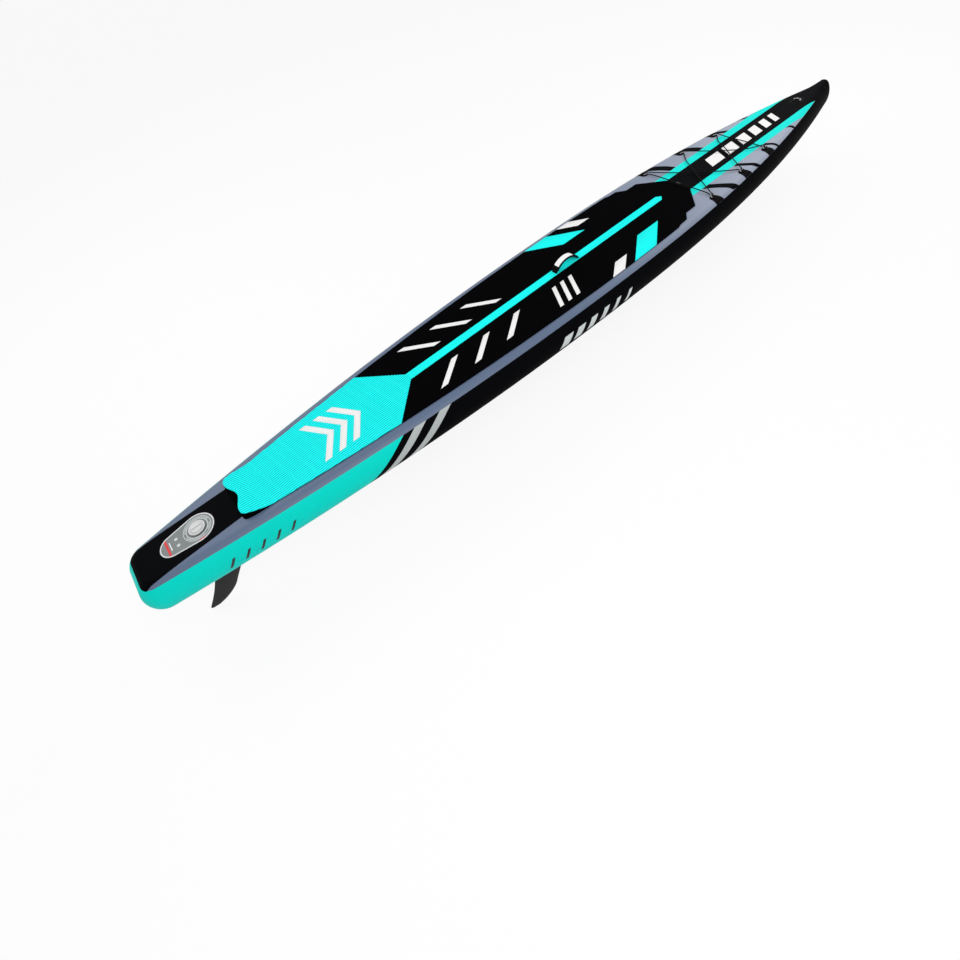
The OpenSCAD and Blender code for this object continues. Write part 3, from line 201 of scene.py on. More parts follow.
def at_height(line, z):
    """Plan points put at a height."""
    return np.column_stack([line, np.full(len(line), z)])


def resample(points, count):
    """Points spread evenly along a line of straight pieces."""
    points = np.asarray(points, float)
    along = distances(points)
    at = np.linspace(0, along[-1], count)
    return np.stack([np.interp(at, along, values) for values in points.T], -1)


def curve_through(points, steps, closed=False):
    """A smooth curve through points: a Catmull-Rom spline with a number of steps to each piece."""
    p = np.asarray(points, float)
    if closed:
        ends = np.roll(p, 1, 0), p, np.roll(p, -1, 0), np.roll(p, -2, 0)
    else:
        p = np.concatenate([[2 * p[0] - p[1]], p, [2 * p[-1] - p[-2]]])
        ends = p[:-3], p[1:-2], p[2:-1], p[3:]
    t = np.linspace(0, 1, steps, endpoint=False)[None, :, None]
    p0, p1, p2, p3 = (a[:, None, :] for a in ends)
    c = 0.5 * (2 * p1 + (p2 - p0) * t + (2 * p0 - 5 * p1 + 4 * p2 - p3) * t ** 2
               + (3 * p1 - 3 * p2 + p3 - p0) * t ** 3)
    c = c.reshape(-1, p.shape[1])
    return c if closed else np.concatenate([c, p[-2:-1]])


# ------------------------------------------------------------------ shape of the hull

TAIL_POWER = 2.1
NOSE_POWER = 2.25
NOSE_SHARE = 0.9
ROUNDED_EDGE = 0.075
RAIL_RADIUS = 0.07
TRANSOM_POINTS = 5


def full_half(x):
    """Half width before the ends are rounded: the greatest, less a power of the distance from its place."""
    w, x0 = size("half_width"), size("widest")
    aft = np.clip((x0 - x) / (x0 + HALF_LENGTH), 0, None) ** TAIL_POWER
    fore = np.clip((x - x0) / (HALF_LENGTH - x0), 0, None) ** NOSE_POWER
    return w - (w - size("tail_half")) * aft - (w - size("nose_half")) * fore


def rise(x):
    """Lift of the hull towards the nose tip, which grows with the square of the distance."""
    reach = size("nose_rise_length")
    return size("nose_rise") * np.clip((x - HALF_LENGTH + reach) / reach, 0, 1) ** 2


def reach_at(half):
    """Reach of the rounded rail where the board has a half width."""
    return np.minimum(size("rail_reach"), NOSE_SHARE * np.maximum(np.abs(half), size("nose_half")))


def seam_inset(seam, reach=None):
    """How far in from the outline a seam runs at an angle on the rail."""
    return (size("rail_reach") if reach is None else reach) * (1 - np.cos(seam))


def side_curve(corner, side):
    """One side of the outline from the middle of the transom to the nose tip, with its outward normals.

    The ends are quarter circles taken off the full half width."""
    turn = np.linspace(0, np.pi / 2, corner)
    tail_x = -HALF_LENGTH + size("tail_radius") * (1 - np.cos(turn))
    tail_y = full_half(tail_x) - size("tail_radius") * (1 - np.sin(turn))
    nose_x = HALF_LENGTH - size("nose_half") * (1 - np.cos(turn[::-1]))
    nose_y = full_half(nose_x) - size("nose_half") * (1 - np.sin(turn[::-1]))
    mid_x = np.linspace(tail_x[-1], nose_x[0], side + 1)[1:-1]
    flat_y = np.linspace(0, tail_y[0], TRANSOM_POINTS + 1)[:-1]
    x = np.concatenate([np.full(TRANSOM_POINTS, -HALF_LENGTH), tail_x, mid_x, nose_x])
    y = np.concatenate([flat_y, tail_y, full_half(mid_x), nose_y])
    y[-1] = 0
    along = distances(np.stack([x, y], -1))
    n = unit(np.stack([-np.gradient(y, along), np.gradient(x, along)], -1))
    n[:TRANSOM_POINTS] = (-1, 0)
    n[-1] = (1, 0)
    return x, y, n[:, 0], n[:, 1]


class Outline:
    """Stations of the outline: places, outward normals and the reach of the rounded rail."""

    def __init__(self, x, y, nx, ny):
        self.x, self.y, self.nx, self.ny = x, y, nx, ny
        self.reach = np.where(nx < -0.99, size("rail_reach"), reach_at(y))

    @classmethod
    def loop(cls, corner, side):
        """The whole outline: up the starboard side and back down the port side."""
        signs = zip(side_curve(corner, side), (1, -1, 1, -1))
        return cls(*(np.concatenate([sign * line, line[-2:0:-1]]) for line, sign in signs))

    @classmethod
    def at(cls, x, sign):
        """Stations of one side at given places along the board."""
        step = 0.5 * MM
        slope = (full_half(x + step) - full_half(x - step)) / (2 * step)
        steep = np.sqrt(1 + slope ** 2)
        return cls(x, sign * full_half(x), -slope / steep, sign / steep)


def rail(stations, angles, lift=0.0):
    """Points of the rail at stations of the outline: an ellipse round the edge, lifted along its radius."""
    d = -lift + (stations.reach + lift) * (1 - np.cos(angles))
    x, y = stations.x - stations.nx * d, stations.y - stations.ny * d
    return np.stack([x, y, MID_Z + (HALF_THICK + lift) * np.sin(angles) + rise(x)], -1)


def on_hull(x, y, lift=0.0, up=1):
    """Plan points laid on the deck (up = 1) or the bottom (up = -1), lifted along the rail's own radius.

    The distance to the nearest part of the outline gives the angle on the rail."""
    px, py = x.ravel().copy(), y.ravel().copy()
    table = Outline.loop(60, 900)
    angle = np.full(px.shape, np.pi / 2)
    near_side = full_half(px) - np.abs(py) < ROUNDED_EDGE
    edge = np.nonzero(near_side | (np.abs(px) > HALF_LENGTH - ROUNDED_EDGE))[0]
    for part in np.array_split(edge, max(1, len(edge) // 2000)):
        k = ((px[part, None] - table.x) ** 2 + (py[part, None] - table.y) ** 2).argmin(1)
        nx, ny, reach = table.nx[k], table.ny[k], table.reach[k]
        d = np.clip((table.x[k] - px[part]) * nx + (table.y[k] - py[part]) * ny, 0, reach)
        turn = np.arccos(np.clip(1 - d / reach, -1, 1))
        shift = np.where(d < reach, d + lift - (reach + lift) * (1 - np.cos(turn)), 0)
        px[part] += nx * shift
        py[part] += ny * shift
        angle[part] = turn
    z = MID_Z + up * (HALF_THICK + lift) * np.sin(angle) + rise(px)
    return np.stack([px, py, z], -1).reshape(x.shape + (3,))


# ------------------------------------------------------------------ mesh making

def grid_quads(rows, cols, around_rows=False, around_cols=False, start=0):
    """Corner numbers of the quads of a grid of points."""
    i = np.arange(rows if around_rows else rows - 1)[:, None]
    j = np.arange(cols if around_cols else cols - 1)[None, :]
    a, b, c, d = i, (i + 1) % rows, j, (j + 1) % cols
    quads = np.stack(np.broadcast_arrays(a * cols + c, b * cols + c, b * cols + d, a * cols + d), -1)
    return quads.reshape(-1, 4) + start


def capped(rows, cols):
    """Faces of a tube of rings: its quads and one face over each end."""
    ring = np.arange(cols)
    return [*grid_quads(rows, cols, around_cols=True), ring[::-1], ring + (rows - 1) * cols]


def link(name, mesh):
    """An object in the scene for a mesh."""
    obj = bpy.data.objects.new(name, mesh)
    bpy.context.scene.collection.objects.link(obj)
    return obj


def to_object(name, points, faces, uv=None, merge=0.0, outwards=True):
    """A mesh object from points and faces, which are turned outwards. uv is one pair for each point, and
    points closer than merge become one."""
    mesh = bpy.data.meshes.new(name)
    mesh.from_pydata(np.reshape(points, (-1, 3)).tolist(), [], [list(map(int, f)) for f in faces])
    if uv is not None:
        corner = np.zeros(len(mesh.loops), np.int32)
        mesh.loops.foreach_get("vertex_index", corner)
        layer = mesh.uv_layers.new(name="UVMap")
        layer.data.foreach_set("uv", np.asarray(uv, np.float32).reshape(-1, 2)[corner].ravel())
    obj = link(name, mesh)
    if outwards:
        face_out(obj, merge)
    return obj


def face_out(obj, merge=0.0):
    """Turns the faces of a closed mesh outwards, after merging doubles if asked."""
    bm = bmesh.new()
    bm.from_mesh(obj.data)
    if merge:
        bmesh.ops.remove_doubles(bm, verts=bm.verts, dist=merge)
    bmesh.ops.recalc_face_normals(bm, faces=bm.faces)
    bm.to_mesh(obj.data)
    bm.free()


def settle(obj, material, slot, *replaces, body="board", angle=32):
    """Gives a finished piece its shading, material and body, and hides the imported nodes that it stands for.

    It is shaded smooth, with edges sharper than the angle left sharp. The slot is not used."""
    obj.data.shade_smooth()
    obj.data.set_sharp_from_angle(angle=math.radians(angle))
    obj.data.materials.clear()
    obj.data.materials.append(MATERIALS[material])
    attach(obj, body)
    if replaces:
        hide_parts(*replaces)
    return obj


def slab(name, top, bottom, uv=None):
    """A closed sheet between two grids of points."""
    rows, cols = top.shape[:2]
    n = rows * cols
    grid = np.arange(n).reshape(rows, cols)
    edge = np.concatenate([grid[0, :-1], grid[:-1, -1], grid[-1, :0:-1], grid[:0:-1, 0]])
    side = np.stack([edge, np.roll(edge, -1), np.roll(edge, -1) + n, edge + n], -1)
    faces = np.concatenate([grid_quads(rows, cols), grid_quads(rows, cols, start=n)[:, ::-1], side])
    return to_object(name, np.stack([top, bottom]), faces, None if uv is None else np.stack([uv, uv]), 1e-7)


def draped(name, left, right, lift, thick, cols=12, up=1):
    """A sheet laid on the hull between two lines of plan points of the same length."""
    share = np.linspace(0, 1, cols)[None, :, None]
    plan = np.asarray(left, float)[:, None] * (1 - share) + np.asarray(right, float)[:, None] * share
    x, y = plan[..., 0], plan[..., 1]
    return slab(name, on_hull(x, y, lift, up), on_hull(x, y, lift - thick, up), plan)


def tube(name, path, side, top, radii, heights, uv_round, closed):
    """Rings of points round a path, from each point's side and top directions, with UVs in metres:
    the first runs round the ring and the second along the path."""
    points = path[:, None] + side[:, None] * radii[..., None] + top[:, None] * heights[..., None]
    n, m = points.shape[:2]
    uv = np.stack(np.broadcast_arrays(uv_round, distances(path)[:, None]), -1)
    return to_object(name, points, grid_quads(n, m, True, True) if closed else capped(n, m), uv)


def ahead_on(path, closed=False):
    """Direction of travel at each point of a path."""
    ahead = np.roll(path, -1, 0) - np.roll(path, 1, 0)
    if not closed:
        ahead[0], ahead[-1] = path[1] - path[0], path[-1] - path[-2]
    return unit(ahead)


def sweep(name, path, profile, up=(0, 1, 0)):
    """A profile of (side, height) pairs carried along a path, with height near the up direction."""
    ahead = ahead_on(path)
    side = unit(np.cross(np.broadcast_to(up, ahead.shape), ahead))
    return tube(name, path, side, np.cross(ahead, side), profile[None, :, 0], profile[None, :, 1],
                distances(profile)[None, :], False)


def hose(name, path, radius, count=12, closed=False):
    """A round tube along a path. Its cross direction is carried from point to point without twisting,
    and on a closed path what is left over is spread evenly along it."""
    ahead = ahead_on(path, closed)
    cross = np.cross(ahead[0], (0.3, 0.2, 0.9))
    sides = []
    for direction in ahead:
        cross = cross - direction * np.dot(cross, direction)
        cross = cross / np.linalg.norm(cross)
        sides.append(cross)
    side = np.array(sides)
    top = np.cross(ahead, side)
    n = len(path)
    slip = 0.0
    if closed:
        back = side[-1] - ahead[0] * np.dot(side[-1], ahead[0])
        slip = -math.atan2(np.dot(back, top[0]), np.dot(back, side[0]))
    turn = np.linspace(0, 2 * np.pi, count, endpoint=False)[None, :] + slip * np.arange(n)[:, None] / n
    return tube(name, path, side, top, radius * np.cos(turn), radius * np.sin(turn), turn * radius, closed)


def lathe(name, profile, centre, count=72, ribs=0, depth=0.0, along_y=False):
    """A closed profile of (radius, height) pairs turned round a vertical axis, or round one along Y.

    Ribs add a wave of a given depth to the outer radii."""
    r, h = np.asarray(profile, float).T[:, None]
    a = np.linspace(0, 2 * np.pi, count, endpoint=False)[:, None]
    r = r - depth * (1 + np.cos(ribs * a)) / 2 * (r > 0.9 * r.max())
    p, q, h = np.broadcast_arrays(r * np.cos(a), r * np.sin(a), h)
    points = np.stack([centre[0] + p, centre[1] + h, centre[2] + q] if along_y
                      else [centre[0] + p, centre[1] + q, h], -1)
    return to_object(name, points, grid_quads(count, len(profile), True, True), merge=1e-6)


def rounded(outline, inset):
    """An outline of plan points moved in by an inset along its corners' own bisectors."""
    a, b = unit(outline - np.roll(outline, 1, 0)), unit(np.roll(outline, -1, 0) - outline)
    na, nb = np.stack([-a[:, 1], a[:, 0]], -1), np.stack([-b[:, 1], b[:, 0]], -1)
    bisector = na + nb
    bisector /= np.clip((bisector * na).sum(1), 0.3, None)[:, None]
    return outline + bisector * inset


def plate(name, outline, z0, z1, edge, rings=4):
    """A flat piece with a rounded upper edge, from an outline that runs anticlockwise."""
    turn = np.linspace(0, np.pi / 2, rings)
    insets = np.concatenate([[0], edge * (1 - np.cos(turn)), [edge * 2]])
    heights = np.concatenate([[z0], z1 - edge + edge * np.sin(turn), [z1]])
    levels = [at_height(rounded(outline, inset), z) for inset, z in zip(insets, heights)]
    return to_object(name, levels, capped(len(levels), len(outline)))


def flip_height(obj, total):
    """Turns a flat piece over, so that its rounded edge faces down."""
    mesh = obj.data
    points = np.zeros(len(mesh.vertices) * 3)
    mesh.vertices.foreach_get("co", points)
    points[2::3] = total - points[2::3]
    mesh.vertices.foreach_set("co", points)
    face_out(obj)


def stadium(along, wide, centre, count=24):
    """Outline of a slab with round ends along X, anticlockwise."""
    r = wide / 2
    front = arc(along / 2 - r, r, np.linspace(-np.pi / 2, np.pi / 2, count))
    return np.concatenate([front, -front]) + np.asarray(centre)[:2]


def corner_rounded(corners, radius, count=6):
    """A polygon with each corner replaced by an arc-like curve of a given reach."""
    before, after = unit(np.roll(corners, 1, 0) - corners), unit(np.roll(corners, -1, 0) - corners)
    t = np.linspace(0, 1, count)[None, :, None]
    p, c, q = ((corners + shift)[:, None] for shift in (before * radius, 0, after * radius))
    return ((1 - t) ** 2 * p + 2 * t * (1 - t) * c + t ** 2 * q).reshape(-1, 2)


def copy_of(name, node, above=None):
    """A copy of a node's mesh, or of its part above a height, with doubles merged and flat faces joined."""
    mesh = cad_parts[node].data.copy()
    mesh.name = name
    obj = link(name, mesh)
    bm = bmesh.new()
    bm.from_mesh(mesh)
    bmesh.ops.remove_doubles(bm, verts=bm.verts, dist=1e-6)
    if above is not None:
        cut = bmesh.ops.bisect_plane(bm, geom=bm.verts[:] + bm.edges[:] + bm.faces[:], plane_co=(0, 0, above),
                                     plane_no=(0, 0, -1), clear_outer=True)
        bmesh.ops.holes_fill(bm, edges=[e for e in cut["geom_cut"] if isinstance(e, bmesh.types.BMEdge)])
    bmesh.ops.recalc_face_normals(bm, faces=bm.faces)
    bmesh.ops.dissolve_limit(bm, angle_limit=math.radians(0.5), verts=bm.verts, edges=bm.edges)
    bm.to_mesh(mesh)
    bm.free()
    for layer in [a.name for a in mesh.attributes if a.name in ("custom_normal", "UVMap")]:
        mesh.attributes.remove(mesh.attributes[layer])
    return obj


def applied(obj):
    """Puts the object's modifiers into its mesh."""
    mesh = bpy.data.meshes.new_from_object(obj.evaluated_get(bpy.context.evaluated_depsgraph_get()))
    obj.modifiers.clear()
    obj.data = mesh


def soften(obj, width, segments=2):
    """Rounds the sharp edges of a piece."""
    bevel = obj.modifiers.new("Rounded edges", "BEVEL")
    bevel.width = width
    bevel.segments = segments
    bevel.limit_method = "ANGLE"
    bevel.angle_limit = math.radians(35)
    bevel.harden_normals = True
    applied(obj)


def bore(obj, z0=DECK_Z - 4 * MM, z1=DECK_Z + 4 * MM):
    """Cuts the valve's round hole through a piece that lies between two heights."""
    cutter = lathe("bore", [(0, z0), (VALVE_HOLE, z0), (VALVE_HOLE, z1), (0, z1)], VALVE, 64)
    cut = obj.modifiers.new("Bore", "BOOLEAN")
    cut.operation, cut.solver, cut.object = "DIFFERENCE", "EXACT", cutter
    applied(obj)
    bpy.data.objects.remove(cutter)


def stitches(name, rows, material, thread=0.00035):
    """Rows of stitches: each row is a line of points, and each stitch a short six-sided bead along it."""
    gap = 0.35
    starts, ends = [], []
    for row in rows:
        count = max(2, int(round(distances(row)[-1] / size("stitch"))))
        marks = resample(row, 2 * count + 1)
        first = marks[0:-1:2]
        starts.append(first + (marks[1::2] - first) * gap * 0.5)
        ends.append(first + (marks[2::2] - first) * (1 - gap * 0.5))
    a, b = np.concatenate(starts), np.concatenate(ends)
    ahead = unit(b - a)
    helper = np.where(np.abs(ahead[:, 2:3]) > 0.9, np.array([[1.0, 0, 0]]), np.array([[0, 0, 1.0]]))
    side = unit(np.cross(ahead, helper))
    top = np.cross(side, ahead)
    turn = np.linspace(0, 2 * np.pi, 6, endpoint=False)[None, :, None]
    ring = thread * (np.cos(turn) * side[:, None] + np.sin(turn) * top[:, None])
    a, b = a[:, None], b[:, None]
    points = np.concatenate([a, a + 0.18 * (b - a) + ring, a + 0.82 * (b - a) + ring, b], 1)
    sides = [(j, (j + 1) % 6) for j in range(6)]
    bead = [(0, 1 + k, 1 + j) for j, k in sides] + [(13, 7 + j, 7 + k) for j, k in sides]
    bead += [(1 + j, 1 + k, 7 + k, 7 + j) for j, k in sides]
    faces = [tuple(v + 14 * s for v in f) for s in range(len(a)) for f in bead]
    settle(to_object(name, points, faces), material, "thread")


# ------------------------------------------------------------------ materials

FLOAT, VECTOR = "NodeSocketFloat", "NodeSocketVector"
GROUPS = {}
MATERIALS = {}


class Value:
    """An output of a shader node that takes part in sums as a number does, one Math node for each step."""

    def __init__(self, nodes, socket):
        self.nodes, self.socket = nodes, socket

    __add__ = lambda a, b: a.nodes.math("ADD", a, b)
    __radd__ = lambda a, b: a.nodes.math("ADD", b, a)
    __sub__ = lambda a, b: a.nodes.math("SUBTRACT", a, b)
    __rsub__ = lambda a, b: a.nodes.math("SUBTRACT", b, a)
    __mul__ = lambda a, b: a.nodes.math("MULTIPLY", a, b)
    __rmul__ = lambda a, b: a.nodes.math("MULTIPLY", b, a)
    __truediv__ = lambda a, b: a.nodes.math("DIVIDE", a, b)
    __rtruediv__ = lambda a, b: a.nodes.math("DIVIDE", b, a)
    __abs__ = lambda a: a.nodes.math("ABSOLUTE", a)


class Nodes:
    """Makes and links the nodes of one tree."""

    def __init__(self, tree):
        self.tree = tree

    def put(self, node, socket, value):
        """Links an output to an input, or sets the input's own value."""
        target = node.inputs[socket]
        if isinstance(value, Value):
            self.tree.links.new(value.socket, target)
        else:
            target.default_value = value

    def new(self, kind, out=0, settings=(), **sockets):
        """A new node with its settings and inputs. Gives one of its outputs."""
        node = self.tree.nodes.new("ShaderNode" + kind)
        for key, value in dict(settings).items():
            setattr(node, key, value)
        for key, value in sockets.items():
            self.put(node, key.replace("_", " "), value)
        return Value(self, node.outputs[out])

    def math(self, operation, *values):
        """A sum of up to three values."""
        node = self.tree.nodes.new("ShaderNodeMath")
        node.operation = operation
        for i, value in enumerate(values):
            self.put(node, i, value)
        return Value(self, node.outputs[0])

    def sine(self, value):
        """Sine of an angle."""
        return self.math("SINE", value)

    def wave(self, value):
        """Sine of a number of whole turns."""
        return self.sine(value * (2 * math.pi))

    def mix(self, factor, a, b):
        """Two colours mixed."""
        node = self.tree.nodes.new("ShaderNodeMix")
        node.data_type = "RGBA"
        for i, value in ((0, factor), (6, a), (7, b)):
            self.put(node, i, value)
        return Value(self, node.outputs[2])

    def scaled(self, base, factor):
        """A colour times a number."""
        node = self.tree.nodes.new("ShaderNodeVectorMath")
        node.operation = "SCALE"
        self.put(node, 0, base if isinstance(base, Value) else base[:3])
        self.put(node, "Scale", factor)
        return Value(self, node.outputs[0])

    def ramp(self, value, start, end):
        """How far a value has come from a start to an end, from 0 to 1, smoothly."""
        return self.new("MapRange", "Result", {"interpolation_type": "SMOOTHSTEP"},
                        Value=value, From_Min=start, From_Max=end)

    def noise(self, vector, scale, detail=2.0, rough=0.5):
        """Noise from 0 to 1 at a place."""
        return self.new("TexNoise", "Fac", Vector=vector, Scale=scale, Detail=detail, Roughness=rough)

    def stretch(self, vector, scale, turn=(0, 0, 0)):
        """A place scaled and turned, which draws out a pattern that is read there."""
        return self.new("Mapping", "Vector", Vector=vector, Scale=scale, Rotation=turn)

    def split(self, vector):
        """The three parts of a vector."""
        node = self.tree.nodes.new("ShaderNodeSeparateXYZ")
        self.put(node, 0, vector)
        return [Value(self, part) for part in node.outputs]

    def shared(self, name, **sockets):
        """A shared effect placed in this tree, as its outputs by name. Its group is built the first time."""
        if name not in GROUPS:
            GROUPS[name] = EFFECTS[name]()
        node = self.tree.nodes.new("ShaderNodeGroup")
        node.node_tree = GROUPS[name]
        for key, value in sockets.items():
            self.put(node, key, value)
        return {out.name: Value(self, out) for out in node.outputs}


def effect(name, inputs, outputs, build):
    """A shader node group. inputs are (name, type, default), and build works out the outputs from them."""
    tree = bpy.data.node_groups.new(name, "ShaderNodeTree")
    for label, kind, value in inputs:
        tree.interface.new_socket(label, in_out="INPUT", socket_type=kind).default_value = value
    for label in outputs:
        tree.interface.new_socket(label, in_out="OUTPUT", socket_type=FLOAT)
    n = Nodes(tree)
    taken = tree.nodes.new("NodeGroupInput").outputs
    given = tree.nodes.new("NodeGroupOutput")
    for label, value in zip(outputs, build(n, *(Value(n, taken[label]) for label, _, _ in inputs))):
        n.put(given, label, value)
    return tree


def scrim_effect():
    """Base fabric pressed through the soft sheet: fine sets of raised threads, with faint mottling."""
    def build(n, at, pitch, mottle):
        turn = 2 * math.pi / pitch
        wave = [n.sine(axis * turn) for axis in n.split(at)]
        broad, fine = n.noise(at, 2.2, 3.0), n.noise(at, 420.0)
        height = (wave[0] + wave[1] + wave[2]) * 0.2 + fine * 0.4
        return height, 1.0 + (broad - 0.5) * mottle, (fine - 0.5) * 0.12
    return effect("Scrim", [("Vector", VECTOR, (0, 0, 0)), ("Pitch", FLOAT, 0.0011), ("Mottle", FLOAT, 0.06)],
                  ["Height", "Shade", "Roughness"], build)


def foam_effect():
    """Fine closed-cell foam: small pits and a brushed grain, slow changes of tone and scuffs from feet."""
    def build(n, at, grain, wear):
        cells = n.new("TexVoronoi", "Distance", {"feature": "DISTANCE_TO_EDGE"}, Vector=at, Scale=grain)
        speckle, tone = n.noise(at, 1500.0, 1.0), n.noise(at, 7.0, 3.0)
        scuff = n.ramp(n.noise(n.stretch(at, (26, 60, 60)), 0.55, 4.0, 0.62), 0.56, 0.78)
        height = cells * 0.8 + speckle * 0.3
        return height, 0.97 + ((tone - 0.5) * 0.10 + (speckle - 0.5) * 0.16), scuff * wear
    return effect("Foam", [("Vector", VECTOR, (0, 0, 0)), ("Grain", FLOAT, 900.0), ("Wear", FLOAT, 0.5)],
                  ["Height", "Shade", "Scuff"], build)


def groove_effect():
    """Share of the depth of the foam's wavy grooves at each place, the same as in the mesh; the foam uses it
    to paint shade into the grooves.
    """
    def build(n, at, pitch):
        x, y, _ = n.split(at)
        turn = 2 * math.pi / (pitch * GROOVE_WAVE)
        row = y / pitch + n.sine(x * turn + y * (turn * GROOVE_SKEW)) * GROOVE_SWAY
        away = abs(n.math("FRACT", row) - 0.5) * 2.0
        return (n.math("POWER", n.ramp(away, GROOVE_EDGE, 1.0), GROOVE_ROUND),)
    return effect("Grooves", [("Vector", VECTOR, (0, 0, 0)), ("Pitch", FLOAT, 0.0095)], ["Share"], build)


def weave_effect():
    """Webbing weave along the UV: rows of small diagonal ribs that lean one way and then the other, with
    painted shade that darkens the low parts of the weave.
    """
    def build(n, at, rib, along):
        u, v, _ = n.split(at)
        across = u / rib
        lean = abs(n.math("FRACT", across * 0.5) - 0.5)
        height = n.wave(v / along + lean) * 0.5 + n.wave(across) * 0.3
        # Painted shade: the colour follows the relief, darker where the weave is low.
        return height, 0.92 + height * 0.12
    inputs = [("UV", VECTOR, (0, 0, 0)), ("Rib", FLOAT, 0.0022), ("Along", FLOAT, 0.0016)]
    return effect("Webbing weave", inputs, ["Height", "Shade"], build)


def braid_effect():
    """Cord sheath braided from two sets of strands that wind round it in opposite directions, with painted
    shade that darkens the cord between the strands.
    """
    def build(n, at, around, lay):
        u, v, _ = n.split(at)
        turn, along = u / around, v / lay
        strands = [abs(n.sine(n.math("MULTIPLY_ADD", turn, 4.0 * way, along * 4.0) * math.pi))
                   for way in (1, -1)]
        height = n.math("MAXIMUM", *strands)
        # Painted shade: the colour follows the strands' height, darker between them.
        return height, 0.75 + height * 0.25, n.ramp(n.wave(turn + along), 0.93, 0.98)
    return effect("Braid", [("UV", VECTOR, (0, 0, 0)), ("Round", FLOAT, CORD_ROUND), ("Lay", FLOAT, 0.009)],
                  ["Height", "Shade", "Fleck"], build)


def handling_effect():
    """Handling marks: soft blotches and short fine scratches that change the gloss and tone a little."""
    def build(n, at, rough, amount):
        scratch = n.ramp(n.noise(n.stretch(at, (9, 240, 240), (0.3, 0.2, 0.5)), 1.6), 0.68, 0.74)
        smear = (n.noise(at, 11.0, 4.0, 0.6) - 0.5) * (amount * 0.30)
        return rough + (smear + scratch * (amount * 0.10)), 1.0 + smear * 0.5
    inputs = [("Vector", VECTOR, (0, 0, 0)), ("Roughness", FLOAT, 0.4), ("Amount", FLOAT, 0.5)]
    return effect("Handling", inputs, ["Roughness", "Tone"], build)


EFFECTS = {"scrim": scrim_effect, "foam": foam_effect, "grooves": groove_effect, "weave": weave_effect,
           "braid": braid_effect, "handling": handling_effect}


class Finish(Nodes):
    """A new material: its nodes, its Principled shader, and the Object coordinates and UVs that it reads."""

    def __init__(self, name, rough=0.5, metallic=0.0, **fixed):
        material = MATERIALS[name] = bpy.data.materials.new(name)
        material.use_nodes = True
        super().__init__(material.node_tree)
        self.shader = self.tree.nodes["Principled BSDF"]
        self.rough = rough
        for key, value in {"Roughness": rough, "Metallic": metallic, **fixed}.items():
            self.shader.inputs[key.replace("_", " ")].default_value = value
        where = self.tree.nodes.new("ShaderNodeTexCoord").outputs
        self.at, self.uv = Value(self, where["Object"]), Value(self, where["UV"])

    def handled(self, amount):
        """Puts handling marks on the roughness, and gives their outputs."""
        marks = self.shared("handling", Vector=self.at, Roughness=self.rough, Amount=amount)
        self.put(self.shader, "Roughness", marks["Roughness"])
        return marks

    def show(self, base, height, relief, strength=1.0):
        """Sets the colour, and the small relief of a height in metres."""
        self.put(self.shader, "Base Color", base)
        self.put(self.shader, "Normal", self.new("Bump", Height=height, Distance=relief, Strength=strength))


def sheet(name, base, rough=0.42, mottle=0.06, end=None, span=(0, 1), shine=0.3):
    """Coated sheet of a skin, rail or band. With an end colour, it changes along X over the span; on the deck
    skin that change is painted light, lighter towards the nose.
    """
    n = Finish(name, rough, Specular_IOR_Level=shine)
    scrim = n.shared("scrim", Vector=n.at, Pitch=0.0011, Mottle=mottle)
    marks = n.handled(0.5)
    if end is not None:
        base = n.mix(n.ramp(n.split(n.at)[0], *span), base, end)
    n.put(n.shader, "Roughness", marks["Roughness"] + scrim["Roughness"])
    n.show(n.scaled(base, scrim["Shade"] * marks["Tone"]), scrim["Height"], 0.00006)


def foam(name, base, rough=0.86, wear=0.35, scuff=(0.5, 0.5, 0.5, 1), shine=0.06, shaded=0.0):
    """Closed-cell foam of the pad, with painted shade that darkens its grooves where it has them."""
    n = Finish(name, rough, Specular_IOR_Level=shine)
    cells = n.shared("foam", Vector=n.at, Grain=700.0, Wear=wear)
    tone = n.scaled(base, cells["Shade"])
    # Painted shade: the colour is darkened by the grooves' depth share, where shade would fall in them.
    if shaded:
        grooves = n.shared("grooves", Vector=n.at, Pitch=size("groove_pitch"))
        tone = n.scaled(tone, 1.0 - grooves["Share"] * shaded)
    n.show(n.mix(cells["Scuff"] * 0.25, tone, scuff), cells["Height"], 0.00022, 0.8)


def plastic(name, base, rough=0.38, amount=0.5, **fixed):
    """Moulded plastic with a fine spark finish and handling marks."""
    n = Finish(name, rough, **fixed)
    n.show(n.scaled(base, n.handled(amount)["Tone"]), n.noise(n.at, 2600.0), 0.00003)


def metal(name, *base):
    """Metal with fine drawing marks."""
    n = Finish(name, 0.3, 1.0)
    n.show(n.scaled(base, n.handled(0.8)["Tone"]), n.noise(n.stretch(n.at, (1, 9, 1)), 900.0), 0.00002)


def webbing(name, base, rough=0.72, rib=0.0026, along=0.0018):
    """Woven webbing that follows the piece's own UV map."""
    n = Finish(name, rough, Specular_IOR_Level=0.04, Sheen_Weight=0.01, Sheen_Roughness=0.5)
    weave, fuzz = n.shared("weave", UV=n.uv, Rib=rib, Along=along), n.noise(n.at, 1800.0)
    n.show(n.scaled(base, weave["Shade"] * (0.88 + fuzz * 0.24)), weave["Height"] + fuzz * 0.3, 0.0003)


def cord(name, base, fleck):
    """Braided sheath of the shock cord, with a few lighter strands."""
    n = Finish(name, 0.6, Specular_IOR_Level=0.05, Sheen_Weight=0.01)
    braid = n.shared("braid", UV=n.uv, Round=CORD_ROUND, Lay=0.009)
    n.show(n.mix(braid["Fleck"] * 0.6, n.scaled(base, braid["Shade"]), fleck), braid["Height"], 0.0003)


def thread(name, base):
    """Sewing thread with a slight twist."""
    n = Finish(name, 0.6, Specular_IOR_Level=0.15)
    twist = n.noise(n.at, 2400.0, 1.0)
    n.show(n.scaled(base, 0.8 + twist * 0.4), twist, 0.0001)


